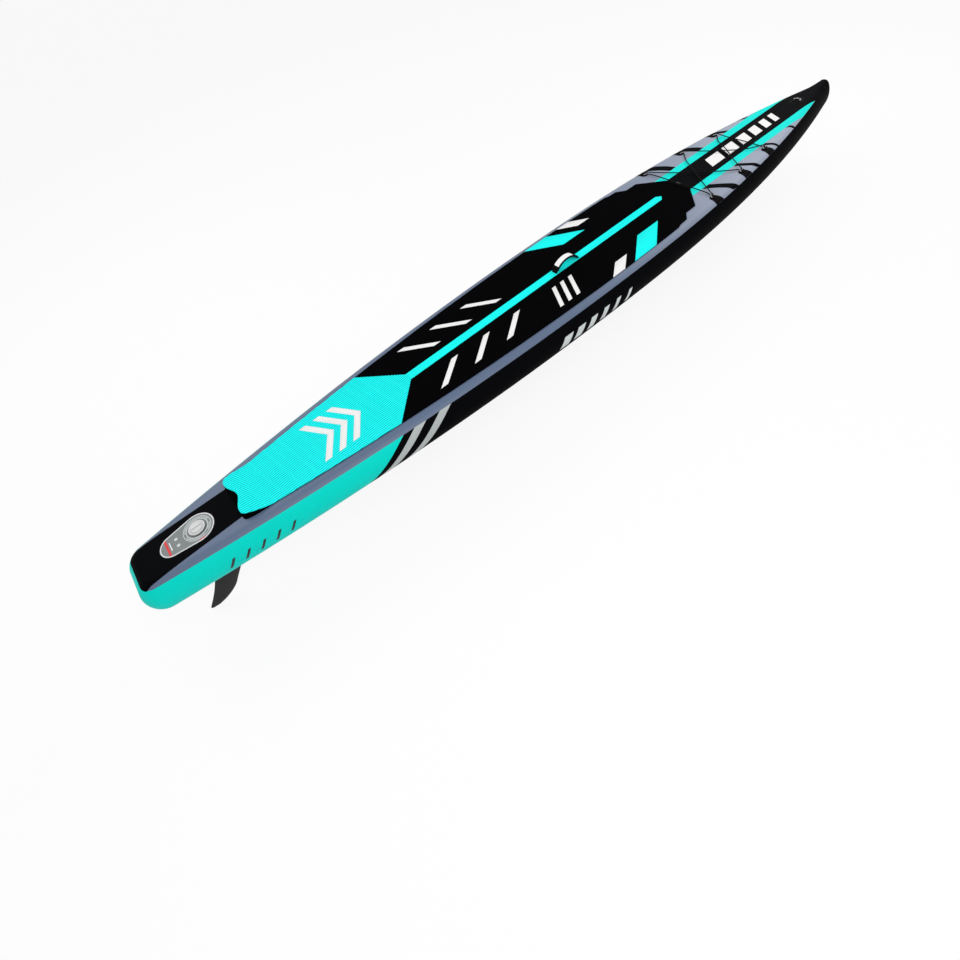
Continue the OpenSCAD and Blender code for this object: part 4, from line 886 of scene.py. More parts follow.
def ribbed_patch(name, base):
    """Coated patch with a raised diamond fabric: two sets of diagonal ribs."""
    n = Finish(name, 0.5, Specular_IOR_Level=0.02)
    x, y, _ = n.split(n.at)
    turn = 2 * math.pi / (4 * MM)
    n.show(n.scaled(base, n.handled(0.6)["Tone"]), n.sine((x + y) * turn) + n.sine((x - y) * turn), 0.00008)


def make_materials():
    """Every finish of the board."""
    turquoise, white = color("turquoise_foam"), color("white")
    # Painted highlight: the deck skin's colour ramps along X from the darker tail colour to the lighter nose
    # colour.
    sheet("deck_skin", color("deck_rear"), end=color("deck_nose_painted_highlight"), span=(-0.4, 1.7), mottle=0.10)
    sheet("bottom_skin", color("bottom"), mottle=0.10)
    sheet("black_sheet", color("black"), 0.55, 0.05, shine=0.008)
    sheet("black_band", (0.0012, 0.0014, 0.0020, 1), 0.48, 0.05, shine=0.010)
    sheet("turquoise_sheet", color("turquoise_rail"), 0.44, 0.05, shine=0.04)
    sheet("turquoise_band", (0.008, 0.78, 0.70, 1), 0.46, 0.05, shine=0.03)
    sheet("rail_stripe", color("stripe"), 0.40, 0.04)
    sheet("print_dark", (0.012, 0.013, 0.015, 1), 0.40)
    sheet("print_pale", (0.58, 0.62, 0.62, 1), 0.46, shine=0.1)
    sheet("print_white", white, 0.40)
    sheet("print_red", (0.62, 0.010, 0.012, 1), 0.40)
    sheet("print_blue", (0.012, 0.06, 0.42, 1), 0.40)
    sheet("print_yellow", (0.80, 0.58, 0.015, 1), 0.40)
    sheet("valve_surround", (0.205, 0.225, 0.225, 1), 0.50, shine=0.1)
    sheet("panel_sheet", (0.235, 0.27, 0.30, 1), 0.42)
    sheet("inner_tape", (0.52, 0.52, 0.50, 1), 0.55)
    foam("black_foam", (0.0012, 0.0012, 0.0015, 1), 0.80, 0.5, (0.006, 0.006, 0.0066, 1), 0.008)
    foam("under_foam", (0.0014, 0.0014, 0.0017, 1), 0.84, 0.3, (0.006, 0.006, 0.0066, 1), 0.008)
    foam("turquoise_foam", turquoise, 0.80, 0.25, (0.10, 0.72, 0.66, 1))
    # The tail pad's grooves get painted shade, up to 72 % darker at their deepest.
    foam("grooved_turquoise", (0.012, 0.94, 0.93, 1), 0.80, 0.25, (0.10, 0.74, 0.72, 1), shaded=0.72)
    foam("white_foam", white, 0.82, 0.3, (0.6, 0.6, 0.58, 1))
    plastic("black_plastic", (0.004, 0.004, 0.0045, 1), 0.36, Specular_IOR_Level=0.3)
    plastic("grey_plastic", (0.075, 0.078, 0.082, 1), 0.36)
    plastic("fin_plastic", (0.003, 0.003, 0.0034, 1), 0.32, 0.7, Specular_IOR_Level=0.25)
    plastic("pale_plastic", (0.58, 0.59, 0.59, 1), 0.40, Specular_IOR_Level=0.3)
    plastic("red_plastic", (0.60, 0.012, 0.014, 1), 0.34)
    plastic("black_rubber", (0.013, 0.013, 0.014, 1), 0.66)
    plastic("white_vinyl", white, 0.46)
    metal("steel", 0.34, 0.34, 0.35)
    metal("brass", 0.72, 0.52, 0.24)
    webbing("black_webbing", (0.0030, 0.0030, 0.0035, 1))
    webbing("grip_fabric", (0.0030, 0.0030, 0.0035, 1), 0.8, 0.0036, 0.0026)
    cord("shock_cord", (0.0014, 0.0014, 0.0017, 1), (0.008, 0.008, 0.008, 1))
    thread("black_thread", (0.010, 0.010, 0.011, 1))
    thread("white_thread", (0.7, 0.7, 0.68, 1))
    ribbed_patch("black_patch", (0.0014, 0.0014, 0.0018, 1))


# ------------------------------------------------------------------ hull

def side_table():
    """One side of the outline in fine steps: places, outward normals and distance from mid transom."""
    x, y, nx, ny = side_curve(200, 4000)
    return x, y, nx, ny, distances(np.stack([x, y], -1))


def along_side(t):
    """Stations at signed distances round the outline from the middle of the transom, port ahead of zero.

    They are read off a dense table of one side, and mirrored where the distance is negative."""
    *lines, s = side_table()
    at = np.clip(np.abs(t), 0, s[-1])
    sign = np.where(t < 0, -1.0, 1.0)
    px, py, qx, qy = (np.interp(at, s, values) for values in lines)
    steep = np.hypot(qx, qy)
    return Outline(px, sign * py, qx / steep, sign * qy / steep)


def distance_at(x):
    """Distance round the outline from the middle of the transom to a place along the board."""
    tx, _, _, _, s = side_table()
    first = int(np.argmax(tx > tx[0] + 1e-5)) - 1
    return np.interp(x, tx[first:], s[first:])


def rail_sheet(name, begin, end, share, angles, lift, thick):
    """A sheet on the rail between two slanted ends: begin and end give the distance for each angle."""
    t = begin[None, :] * (1 - share[:, None]) + end[None, :] * share[:, None]
    grid = np.broadcast_to(angles, t.shape)
    stations = along_side(t)
    return slab(name, rail(stations, grid, lift), rail(stations, grid, lift - thick),
                np.stack([t, grid * RAIL_RADIUS], -1))


def slanted(middle, angles, lean=2 * MM):
    """Distance round the outline of a line across the rail that leans forward by so much for each degree."""
    return distance_at(middle + lean * np.degrees(angles))


def skin(name, seam, up):
    """Deck or bottom skin: rings that follow the outline from under the rail sheet in, and a flat middle."""
    corner, side, columns = 20, 260, 11
    angles = np.linspace(seam - math.radians(5), math.pi / 2, 9)
    loop = Outline.loop(corner, side)
    rows, per = len(loop.x), len(angles)
    one = len(side_curve(corner, side)[0])
    # number of the station across the board from each station
    across = np.concatenate([[0], np.arange(rows - 1, one - 1, -1), [one - 1]])
    stations = np.arange(TRANSOM_POINTS, one)
    share = np.linspace(0, 1, columns)[None, :, None]
    layers, faces, count = [], [], 0
    for lift in (0.0, -SHEET):
        ring = rail(loop, angles[:, None], lift).swapaxes(0, 1)
        if up < 0:
            ring[..., 2] = 2 * (MID_Z + rise(ring[..., 0])) - ring[..., 2]
        a, b = ring[stations, -1], ring[across[stations], -1]
        cap = a[:, None] * (1 - share) + b[:, None] * share
        layers += [ring.reshape(-1, 3), cap.reshape(-1, 3)]
        faces += [grid_quads(rows, per, around_rows=True, start=count),
                  grid_quads(len(stations), columns, start=count + rows * per)]
        count += rows * per + len(stations) * columns
    i, j, half = np.arange(rows) * per, np.roll(np.arange(rows), -1) * per, count // 2
    faces.append(np.stack([i, j, j + half, i + half], -1))
    return to_object(name, np.concatenate(layers), np.concatenate(faces), merge=2e-6)


class BOARD_OT_skins(bpy.types.Operator):
    """Deck skin with its valve hole, and bottom skin"""
    bl_idname = "board.skins"
    bl_label = "Skins"

    def execute(self, context):
        deck = skin("deck_skin_sheet", size("deck_seam"), 1)
        bore(deck)
        settle(deck, "deck_skin", "hull_pvc_deck", "deck_skin")
        bottom = skin("bottom_skin_sheet", size("bottom_seam"), -1)
        settle(bottom, "bottom_skin", "hull_pvc_bottom", "bottom_skin")
        return {"FINISHED"}


# side, rear and front X of the aft and the fore stripe, and X of the tail wrap's end, all at mid height
STRIPES = {"starboard": (-1, (-1.186, -1.133), (-1.071, -1.018), -1.235),
           "port": (1, (-1.286, -1.233), (-1.171, -1.118), -1.335)}


class BOARD_OT_rails(bpy.types.Operator):
    """Black rail sheets, turquoise wrap around the tail and the slanted stripes ahead of it"""
    bl_idname = "board.rails"
    bl_label = "Rails"

    def execute(self, context):
        angles, lap = np.linspace(-size("bottom_seam"), size("deck_seam"), 22), size("lap")
        near_nose = np.concatenate([np.linspace(0, 0.965, 280), np.linspace(0.965, 1, 60)[1:]])
        ends = []
        for side, (sign, aft, fore, wrap) in STRIPES.items():
            ends.append(slanted(wrap, angles) * sign)
            nose = np.full(len(angles), sign * distance_at(HALF_LENGTH))
            wall = rail_sheet("rail_sheet_" + side, ends[-1], nose, near_nose, angles, lap, SHEET)
            settle(wall, "black_sheet", "rail_pvc", "side_wall_" + side)
            for k, (x0, x1) in enumerate((aft, fore)):
                begin, end = (slanted(at, angles) * sign for at in (x0, x1))
                stripe = rail_sheet(f"rail_stripe_{side}_{k + 1}", begin, end, np.linspace(0, 1, 12), angles,
                                    lap + PRINT, 0.3 * MM)
                settle(stripe, "rail_stripe", "grey_pvc")
        wrap = rail_sheet("tail_wrap_sheet", *ends, np.linspace(0, 1, 560), angles, lap + 0.1 * MM, MM)
        settle(wrap, "turquoise_sheet", "turquoise_pvc", "tail_wrap")
        return {"FINISHED"}


class BOARD_OT_rail_marks(bpy.types.Operator):
    """Plain slanted bars on the rails"""
    bl_idname = "board.rail_marks"
    bl_label = "Rail marks"

    def execute(self, context):
        # place along the board and width of each mark
        bars = [(-0.352 + 0.079 * k, 0.050 - 0.006 * k) for k in range(6)]
        ticks = [(-1.845 + 0.057 * k, 0.011) for k in range(5)]
        kinds = (("rail_bar", bars, -24, 10, 6, 0.2 * MM, "print_pale", "grey_pvc"),
                 ("tail_tick", ticks, -16, 8, 4, 0.3 * MM, "print_dark", "black_pvc"))
        for side, sign in SIDES[::-1]:
            for name, marks, lowest, rows, cols, lift, material, slot in kinds:
                angles = np.radians(np.linspace(lowest, 14, rows))
                for k, (x, wide) in enumerate(marks):
                    begin, end = (slanted(at, angles, 0.9 * MM) * sign for at in (x, x + wide))
                    mark = rail_sheet(f"{name}_{side}_{k + 1}", begin, end, np.linspace(0, 1, cols), angles,
                                      size("lap") + lift, PRINT)
                    settle(mark, material, slot)
        return {"FINISHED"}


# ------------------------------------------------------------------ bands and prints

NOSE_X = 1.9
NOSE_TABLE_X = 1.2
NOSE_BLACK_X = 1.915
CORNER_LONG = 0.05
BAR_LENGTHS = (0.105, 0.090, 0.076, 0.063, 0.051, 0.040)
BAR_LEAN = 0.036
BAR_GAP = 0.034


def tail_corner(x, seam):
    """Half width inside a seam at the rounded tail corner: the circle left after the seam's inset."""
    r = size("tail_radius") - seam_inset(seam)
    full = full_half(x)
    full = np.clip(full - seam_inset(seam, reach_at(full)), 0, None)
    fall = np.clip(r - (x + HALF_LENGTH - seam_inset(seam)), 0, r)
    return full - (r - np.sqrt(np.clip(r * r - fall * fall, 0, None)))


def nose_corner(x, seam):
    """Half width inside a seam near the nose, where the outline is a round end. Aft of that it stays the
    same, which is more than any band's."""
    table = Outline(*side_curve(120, 3000))
    inset = seam_inset(seam, table.reach)
    px, py = table.x - table.nx * inset, table.y - table.ny * inset
    keep = px > NOSE_TABLE_X
    order = np.argsort(px[keep])
    return np.interp(x, px[keep][order], np.clip(py[keep][order], 0, None))


def from_tail(seam, x, turn_rows, rows):
    """Places from a seam at the transom forward to x, closer together in the rounded corners."""
    first = -HALF_LENGTH + seam_inset(seam) + SEAM_GAP
    turn = np.linspace(0, np.pi / 2, turn_rows)
    straight = np.linspace(first + CORNER_LONG, x, rows)
    return np.concatenate([first + CORNER_LONG * (1 - np.cos(turn)), straight[1:]])


def to_nose(seam, x, rows):
    """Places from x forward to where a seam crosses the centre line at the nose, closer together there."""
    tip = HALF_LENGTH - seam_inset(seam, NOSE_SHARE * size("nose_half")) - SEAM_GAP
    turn = np.linspace(0, np.pi / 2, 50)
    return np.concatenate([np.linspace(x, NOSE_X, rows), NOSE_X + (tip - NOSE_X) * np.sin(turn)[1:]])


def band(name, x, half, up=1, cols=49):
    """A band laid along the centre of the board with a given half width at each place."""
    return draped(name, np.stack([x, half], -1), np.stack([x, -half], -1), BAND, BAND, cols, up)


def strip(name, rear, front, lift, thick, up=1):
    """A four-sided mark between a rear edge and a front edge, each given as lines of plan points."""
    return draped(name, resample(rear, 10), resample(front, 10), lift, thick, 6, up)


def print_bars(name, x, y, lift, thick, up=1):
    """A row of plain slanted bars that get shorter forward."""
    for k, along in enumerate(BAR_LENGTHS):
        rear = np.array([(x, -y), (x + BAR_LEAN, y)])
        bar = strip(f"{name}_{k + 1}", rear, rear + (along, 0), lift, thick, up)
        settle(bar, "print_white", "white_vinyl")
        x += along + BAR_GAP


# rear X, front X and Y of each dash, from the nose stripe outwards
DASHES = {
    "starboard_1": [(0.800, 0.850, -0.120), (0.845, 0.890, -0.170), (0.880, 0.930, -0.228)],
    "starboard_2": [(1.055, 1.085, -0.120), (1.090, 1.120, -0.170), (1.115, 1.145, -0.207)],
    "starboard_3": [(1.295, 1.325, -0.120), (1.322, 1.345, -0.150), (1.340, 1.358, -0.176)],
    "starboard_4": [(1.515, 1.545, -0.1195), (1.535, 1.560, -0.130), (1.546, 1.566, -0.142)],
    "port_1": [(0.860, 0.905, 0.120), (0.835, 0.885, 0.170), (0.795, 0.850, 0.222)],
    "port_2": [(1.095, 1.140, 0.120), (1.070, 1.120, 0.160), (1.040, 1.090, 0.200)],
    "port_3": [(1.325, 1.360, 0.120), (1.308, 1.336, 0.145), (1.290, 1.312, 0.170)],
    "port_4": [(1.515, 1.545, 0.1195), (1.500, 1.528, 0.130), (1.490, 1.512, 0.144)],
}


class BOARD_OT_deck_bands(bpy.types.Operator):
    """Black bands on the tail and nose, turquoise nose stripes and curved dashes"""
    bl_idname = "board.deck_bands"
    bl_label = "Deck bands"

    def execute(self, context):
        seam = size("deck_seam")
        pad_rear = low("pad_base")[0]
        x = from_tail(seam, pad_rear + 0.08, 40, 60)
        spread = 8 * MM * np.clip((pad_rear - x) / 0.36, 0, 1)
        half = np.minimum(size("tail_band") + spread, tail_corner(x, seam) - 0.5 * MM)
        tail = band("tail_band_sheet", x, half)
        bore(tail)
        settle(tail, "black_band", "black_pvc", "deck_band_tail")

        x = to_nose(seam, high("pad_base")[0] + SEAM_GAP, 120)
        seam_line = nose_corner(x, seam) - 0.05 * MM
        half = np.where(x > NOSE_BLACK_X, seam_line, np.minimum(size("nose_band"), seam_line))
        settle(band("nose_band_sheet", x, half, cols=33), "black_band", "black_pvc", "deck_band_nose")

        for side, sign in SIDES:
            edges = []  # inner and outer, from their rear and front X and half width
            for x0, x1, y in ((0.7655, 1.914, 0.0736), (0.7275, NOSE_BLACK_X, size("nose_stripe"))):
                x = np.linspace(x0, x1, 150)
                edges.append(np.stack([x, sign * np.minimum(y, nose_corner(x, seam) - 0.8 * MM)], -1))
            stripe = draped("nose_stripe_" + side, *edges, 0.55 * MM, 0.5 * MM, 5)
            settle(stripe, "turquoise_band", "turquoise_pvc")
        for name, rows in DASHES.items():
            self.dash(name, np.array(rows), seam)
        return {"FINISHED"}

    def dash(self, name, rows, seam):
        """A curved dash from rows of (rear X, front X, Y), run on to the deck seam the way it ends."""
        side = math.copysign(1, rows[0, 2])
        seam_line = full_half(rows[-1, :2].mean()) - seam_inset(seam) - 0.6 * MM
        step = side * seam_line - rows[-1, 2]
        if step * side > 2 * MM:
            slope = (rows[-1, :2] - rows[-2, :2]) / (rows[-1, 2] - rows[-2, 2])
            rows = np.vstack([rows, [*(rows[-1, :2] + slope * step), rows[-1, 2] + step]])
        rear, front = (curve_through(rows[:, [k, 2]], 8) for k in (0, 1))
        settle(draped("nose_dash_" + name, rear, front, 0.5 * MM, 0.45 * MM, 6), "black_band", "black_pvc")


class BOARD_OT_nose_marks(bpy.types.Operator):
    """Plain slanted bars on the nose band"""
    bl_idname = "board.nose_marks"
    bl_label = "Nose marks"

    def execute(self, context):
        print_bars("nose_bar", 1.000, 0.036, 1.05 * MM, 0.3 * MM)
        return {"FINISHED"}


class BOARD_OT_bottom_bands(bpy.types.Operator):
    """Black band under the board, and the plain panel with its coloured bars"""
    bl_idname = "board.bottom_bands"
    bl_label = "Bottom bands"

    def execute(self, context):
        seam, half = size("bottom_seam"), size("bottom_band")
        rear, front = low("bottom_panel")[0], high("bottom_panel")[0]
        x = from_tail(seam, rear - 0.3 * MM, 30, 24)
        tail = band("bottom_tail_band", x, np.minimum(half, tail_corner(x, seam) - 0.5 * MM), -1)
        settle(tail, "black_band", "black_pvc", "bottom_band_tail")
        x = to_nose(seam, front + 0.3 * MM, 170)
        ahead = band("bottom_front_band", x, np.minimum(half, nose_corner(x, seam) - 0.05 * MM), -1)
        settle(ahead, "black_band", "black_pvc", "bottom_band_front")

        grey = front - 0.045
        # rear and front X, low and high Y, material, lift and thickness, and the node that a part stands for
        marks = [("white", rear, grey, -half, half, "print_white", BAND, BAND, "bottom_panel"),
                 ("grey", grey, front, -half, half, "panel_sheet", BAND, BAND),
                 ("red", -1.520, -1.510, -0.030, 0.0, "print_red", MM, PRINT),
                 ("blue", -1.520, -1.510, 0.0, 0.030, "print_blue", MM, PRINT),
                 ("yellow", -1.478, -1.466, -half, half, "print_yellow", MM, PRINT)]
        for name, x0, x1, y0, y1, material, lift, thick, *stands_for in marks:
            piece = strip("panel_" + name, [(x0, y0), (x0, y1)], [(x1, y0), (x1, y1)], lift, thick, -1)
            settle(piece, material, "panel_pvc", *stands_for)
        a = np.linspace(0, np.pi, 30)
        oval = [np.stack([front - 0.0225 + side * 0.016 * np.sin(a), 0.070 * np.cos(a)], -1)
                for side in (-1, 1)]
        settle(draped("panel_oval", *oval, MM, PRINT, 8, -1), "print_red", "panel_pvc")
        print_bars("bottom_bar", -0.120, -0.034, MM, PRINT, -1)
        return {"FINISHED"}


# ------------------------------------------------------------------ foam pads

GROOVE_WAVE = 7.0
GROOVE_SKEW = 0.15
GROOVE_SWAY = 0.16
GROOVE_EDGE = 0.45
GROOVE_ROUND = 1.2


def pad_top(x):
    """Height of the pad's face: flat, with a slope up to the raised rear end that starts and ends level."""
    rear, front = low("pad_kick"), high("pad_kick")
    t = np.clip((front[0] - x) / (front[0] - rear[0]), 0, 1)
    return PAD_Z + (front[2] - rear[2]) * t * t * (3 - 2 * t)


def groove_share(x, y, pitch):
    """How deep a groove is at a place, from 0 to 1. Grooves run along the board and sway in skewed waves."""
    turn = 2 * np.pi / (pitch * GROOVE_WAVE)
    sway = GROOVE_SWAY * np.sin(x * turn + y * turn * GROOVE_SKEW)
    row = np.abs(((y / pitch + sway) % 1) - 0.5) * 2
    return np.clip((row - GROOVE_EDGE) / (1 - GROOVE_EDGE), 0, 1) ** GROOVE_ROUND


def grooved(obj, pitch, depth):
    """Cuts the upper face into a fine grid, lays it at the pad's true height and sinks the grooves in it."""
    bm = bmesh.new()
    bm.from_mesh(obj.data)
    step_x, step_y = pitch * 0.65, pitch / 4
    x, y, _ = np.array([v.co for v in bm.verts]).T
    cuts = [((at, 0, 0), (1, 0, 0)) for at in np.arange(x.min() + step_x / 2, x.max(), step_x)]
    cuts += [((0, at, 0), (0, 1, 0)) for at in np.arange(y.min() + step_y / 2, y.max(), step_y)]

    geom = [f for f in bm.faces if f.normal.z > 0.9
            and abs(f.calc_center_median().z - pad_top(f.calc_center_median().x)) < 0.2 * MM]
    geom += list(dict.fromkeys([v for f in geom for v in f.verts] + [e for f in geom for e in f.edges]))
    for point, normal in cuts:
        geom = bmesh.ops.bisect_plane(bm, geom=geom, plane_co=point, plane_no=normal, dist=1e-6)["geom"]
    lie = list(dict.fromkeys(v for f in geom if isinstance(f, bmesh.types.BMFace) for v in f.verts))
    x, y, _ = np.array([v.co for v in lie]).T
    for v, z in zip(lie, pad_top(x) - depth * groove_share(x, y, pitch)):
        v.co.z = z
    bm.to_mesh(obj.data)
    bm.free()


# node, material, slot and rounding in millimetres of each pad
PADS = [("pad_base", "under_foam", "black_foam", 0.6),
        ("pad_kick", "under_foam", "black_foam", 0),
        ("pad_tail", "grooved_turquoise", "turquoise_foam", 0.9),
        ("pad_main", "black_foam", "black_foam", 0.8),
        ("pad_stripe", "turquoise_foam", "turquoise_foam", 0.7),
        ("pad_dashes", "white_foam", "white_foam", 0.6),
        ("pad_flashes_turquoise", "turquoise_foam", "turquoise_foam", 0.7),
        ("pad_flashes_white", "white_foam", "white_foam", 0.6),
        ("pad_chevrons", "white_foam", "white_foam", 0.6),
        ("pad_bars", "white_foam", "white_foam", 0.6)]


class BOARD_OT_pads(bpy.types.Operator):
    """Foam deck pad: black underlay, grooved tail pad and main pad, and the foam inlays"""
    bl_idname = "board.pads"
    bl_label = "Deck pad"

    def execute(self, context):
        for node, material, slot, edge in PADS:
            piece = copy_of(node.replace("pad_", "foam_"), node)
            if edge:
                soften(piece, edge * MM)
            if node in ("pad_tail", "pad_main"):
                grooved(piece, size("groove_pitch"), size("groove_depth"))
            settle(piece, material, slot, node, angle=40)
        return {"FINISHED"}


# ------------------------------------------------------------------ handle

HANDLE_X = midpoint("handle_strap")[0]
FOOT_Z = low("handle_strap")[2]
WEB_LONG, WEB_WIDE, WEB_TOP = high("handle_strap") - low("handle_strap")
WEB_HALF = WEB_LONG / 2
WEB_THICK = 2.5 * MM
FOOT_LONG = 26 * MM
ANCHOR_LONG = 44 * MM
GRIP = high("handle_grip")[2] - high("handle_strap")[2]
ARCH_RADIUS = (WEB_HALF ** 2 + WEB_TOP ** 2) / (2 * WEB_TOP)
PANEL_REAR, PANEL_FRONT, PANEL_WIDE = -0.055, 0.040, 0.027


def arch(out, above=0.0, count=48):
    """Arc of the handle seen from the side, a distance outside the webbing's outer face and above a level."""
    r, middle = ARCH_RADIUS + out, WEB_TOP - ARCH_RADIUS
    reach = math.acos((above - middle) / r)
    a = np.linspace(-reach, reach, count)
    return np.stack([r * np.sin(a), middle + r * np.cos(a)], -1)


def arch_between(out, above, rear, front, count):
    """Part of the arch between two places along the board."""
    line = arch(out, above, 160)
    return resample(line[(line[:, 0] > rear) & (line[:, 0] < front)], count)


def in_side_view(line, y=0.0):
    """Points of the handle's side view put in their place."""
    return np.stack([HANDLE_X + line[:, 0], np.full(len(line), y), FOOT_Z + line[:, 1]], -1)


def rounded_box(wide, thick, radius, crown=0.0, count=5):
    """Profile of a flat strap or padded sleeve: thickness first, width second, with rounded corners."""
    a = np.linspace(0, np.pi / 2, count)
    upper = np.array((thick / 2 - radius, wide / 2 - radius)) + arc(0, radius, a)
    flat = np.linspace(-1, 1, 9)[1:-1] * (wide / 2 - radius)
    right = np.stack([thick / 2 + crown * (1 - (flat / (wide / 2)) ** 2), flat], -1)
    flip = (-1, 1)
    return np.concatenate([right, upper, upper[::-1] * flip, right[::-1] * flip, -upper,
                           upper[::-1] * (1, -1)])


class BOARD_OT_handle(bpy.types.Operator):
    """Carry handle: anchors under the pad, webbing, padded sleeve with its cuffs and the white panel"""
    bl_idname = "board.handle"
    bl_label = "Carry handle"

    def execute(self, context):
        rear, front = low("handle_anchors"), high("handle_anchors")
        for k, side in enumerate((-1, 1)):
            x = rear[0] if side < 0 else front[0] - ANCHOR_LONG
            outline = corner_rounded(rectangle(x, rear[1], x + ANCHOR_LONG, front[1]), 7 * MM)
            anchor = plate(f"handle_anchor_{k + 1}", outline, rear[2], front[2], 0.4 * MM)
            settle(anchor, "black_patch", "webbing", *(["handle_anchors"] if k == 0 else []))
            x0, x1 = sorted((HANDLE_X + side * WEB_HALF, HANDLE_X + side * (WEB_HALF - FOOT_LONG)))
            outline = corner_rounded(rectangle(x0, -WEB_WIDE / 2, x1, WEB_WIDE / 2), MM, 4)
            foot = plate(f"handle_foot_{k + 1}", outline, FOOT_Z, FOOT_Z + WEB_THICK, 0.6 * MM)
            settle(foot, "black_webbing", "webbing")
        strap = sweep("handle_webbing", in_side_view(arch(-WEB_THICK / 2, WEB_THICK / 2)),
                      rounded_box(WEB_WIDE, WEB_THICK, 1.1 * MM))
        settle(strap, "black_webbing", "webbing", "handle_strap")
        self.sleeve()
        self.panel()
        return {"FINISHED"}

    def sleeve(self):
        """Padded sleeve, with a cuff at each end and a row of stitches along each side."""
        foot = low("handle_grip")[2] - FOOT_Z
        wide = high("handle_grip")[1] - low("handle_grip")[1]
        thick = WEB_THICK + 2 * GRIP
        line = in_side_view(arch(-WEB_THICK / 2, foot + 2 * MM, 64))
        grip = sweep("handle_sleeve", line, rounded_box(wide - 0.8 * MM, thick - MM, 3 * MM, 0.4 * MM, 7))
        settle(grip, "grip_fabric", "grip_fabric", "handle_grip")
        for k, end in enumerate((line[:3], line[-3:])):
            profile = rounded_box(wide - 0.2 * MM, thick - 0.2 * MM, 3 * MM, 0.4 * MM, 7)
            settle(sweep(f"handle_cuff_{k + 1}", end, profile), "black_webbing", "webbing")
        seam = arch(GRIP - 0.4 * MM, foot + 6 * MM, 60)
        stitches("handle_stitches", [in_side_view(seam, side * (wide / 2 - 2.1 * MM)) for side in (-1, 1)],
                 "black_thread")

    def panel(self):
        """White panel on top of the sleeve, with stitches round its edge."""
        foot = low("handle_grip")[2] - FOOT_Z
        line = arch_between(GRIP + 0.2 * MM, foot, PANEL_REAR, PANEL_FRONT, 60)
        vinyl = sweep("handle_top_panel", in_side_view(line), rounded_box(PANEL_WIDE, 1.1 * MM, 0.5 * MM))
        settle(vinyl, "white_vinyl", "white_vinyl", "handle_panel")
        line = arch_between(GRIP + 0.9 * MM, foot, PANEL_REAR + 2 * MM, PANEL_FRONT - 2 * MM, 80)
        rows = [in_side_view(line, side * (PANEL_WIDE / 2 - 2 * MM)) for side in (-1, 1)]
        rows += [np.linspace(rows[0][end], rows[1][end], 12) for end in (0, -1)]
        stitches("handle_panel_stitches", rows, "white_thread")


# ------------------------------------------------------------------ rings, loops and lacing

BUNGEE_X = (0.768, 1.035, 1.280)
RING_Z = high("bungee_loops")[2] - 3.5 * MM
RING_INSET = 8 * MM
CORD_ROUND = 0.0157
PATCH_ROUND = 0.75
PATCH_WIDE, PATCH_NARROW = 0.062, 0.036
LOOP_THICK = 1.2 * MM
LOOP_SLACK = 0.2 * MM
# X, Y and height over the deck of points along the cord, in millimetres
CORD = [
    (771, -160, 9.5), (769, -186, 6), (768, -197, 6.2), (768, -200.5, 12.2), (769, -197, 16.8),
    (773, -186, 16),
    (834, -94, 13), (898, 0, 16), (966, 98, 11), (1024, 156, 6.6), (1033, 171, 6), (1035, 176, 11.2),
    (1038, 171, 16.2), (1046, 156, 15),
    (1096, 80, 12), (1152, 0, 9.6), (1210, -80, 11), (1271, -129, 15), (1277, -141, 16.4),
    (1280, -145.5, 11.2), (1280, -141, 6), (1278, -129, 6.2),
    (1278, -60, 11), (1278, 60, 11), (1278, 129, 15), (1279, 141, 16.4), (1280, 145.5, 11.2),
    (1277, 141, 6), (1270, 129, 6.2),
    (1214, 80, 11), (1160, 0, 16), (1100, -80, 13), (1046, -156, 15), (1038, -171, 16.2),
    (1035, -176, 11.2), (1033, -171, 6), (1022, -156, 6.4),
    (962, -94, 10), (894, 0, 9.6), (830, 94, 12), (776, 182, 15.8), (770, 197, 16.8), (768, 201.5, 12.2),
    (768, 197, 6.2), (770, 186, 6), (771, 160, 9.5), (771, 80, 11), (771, -80, 11)]


def bend(bar):
    """Radius of a loop round a ring's bar, to the middle of its webbing."""
    return bar + LOOP_SLACK + LOOP_THICK / 2


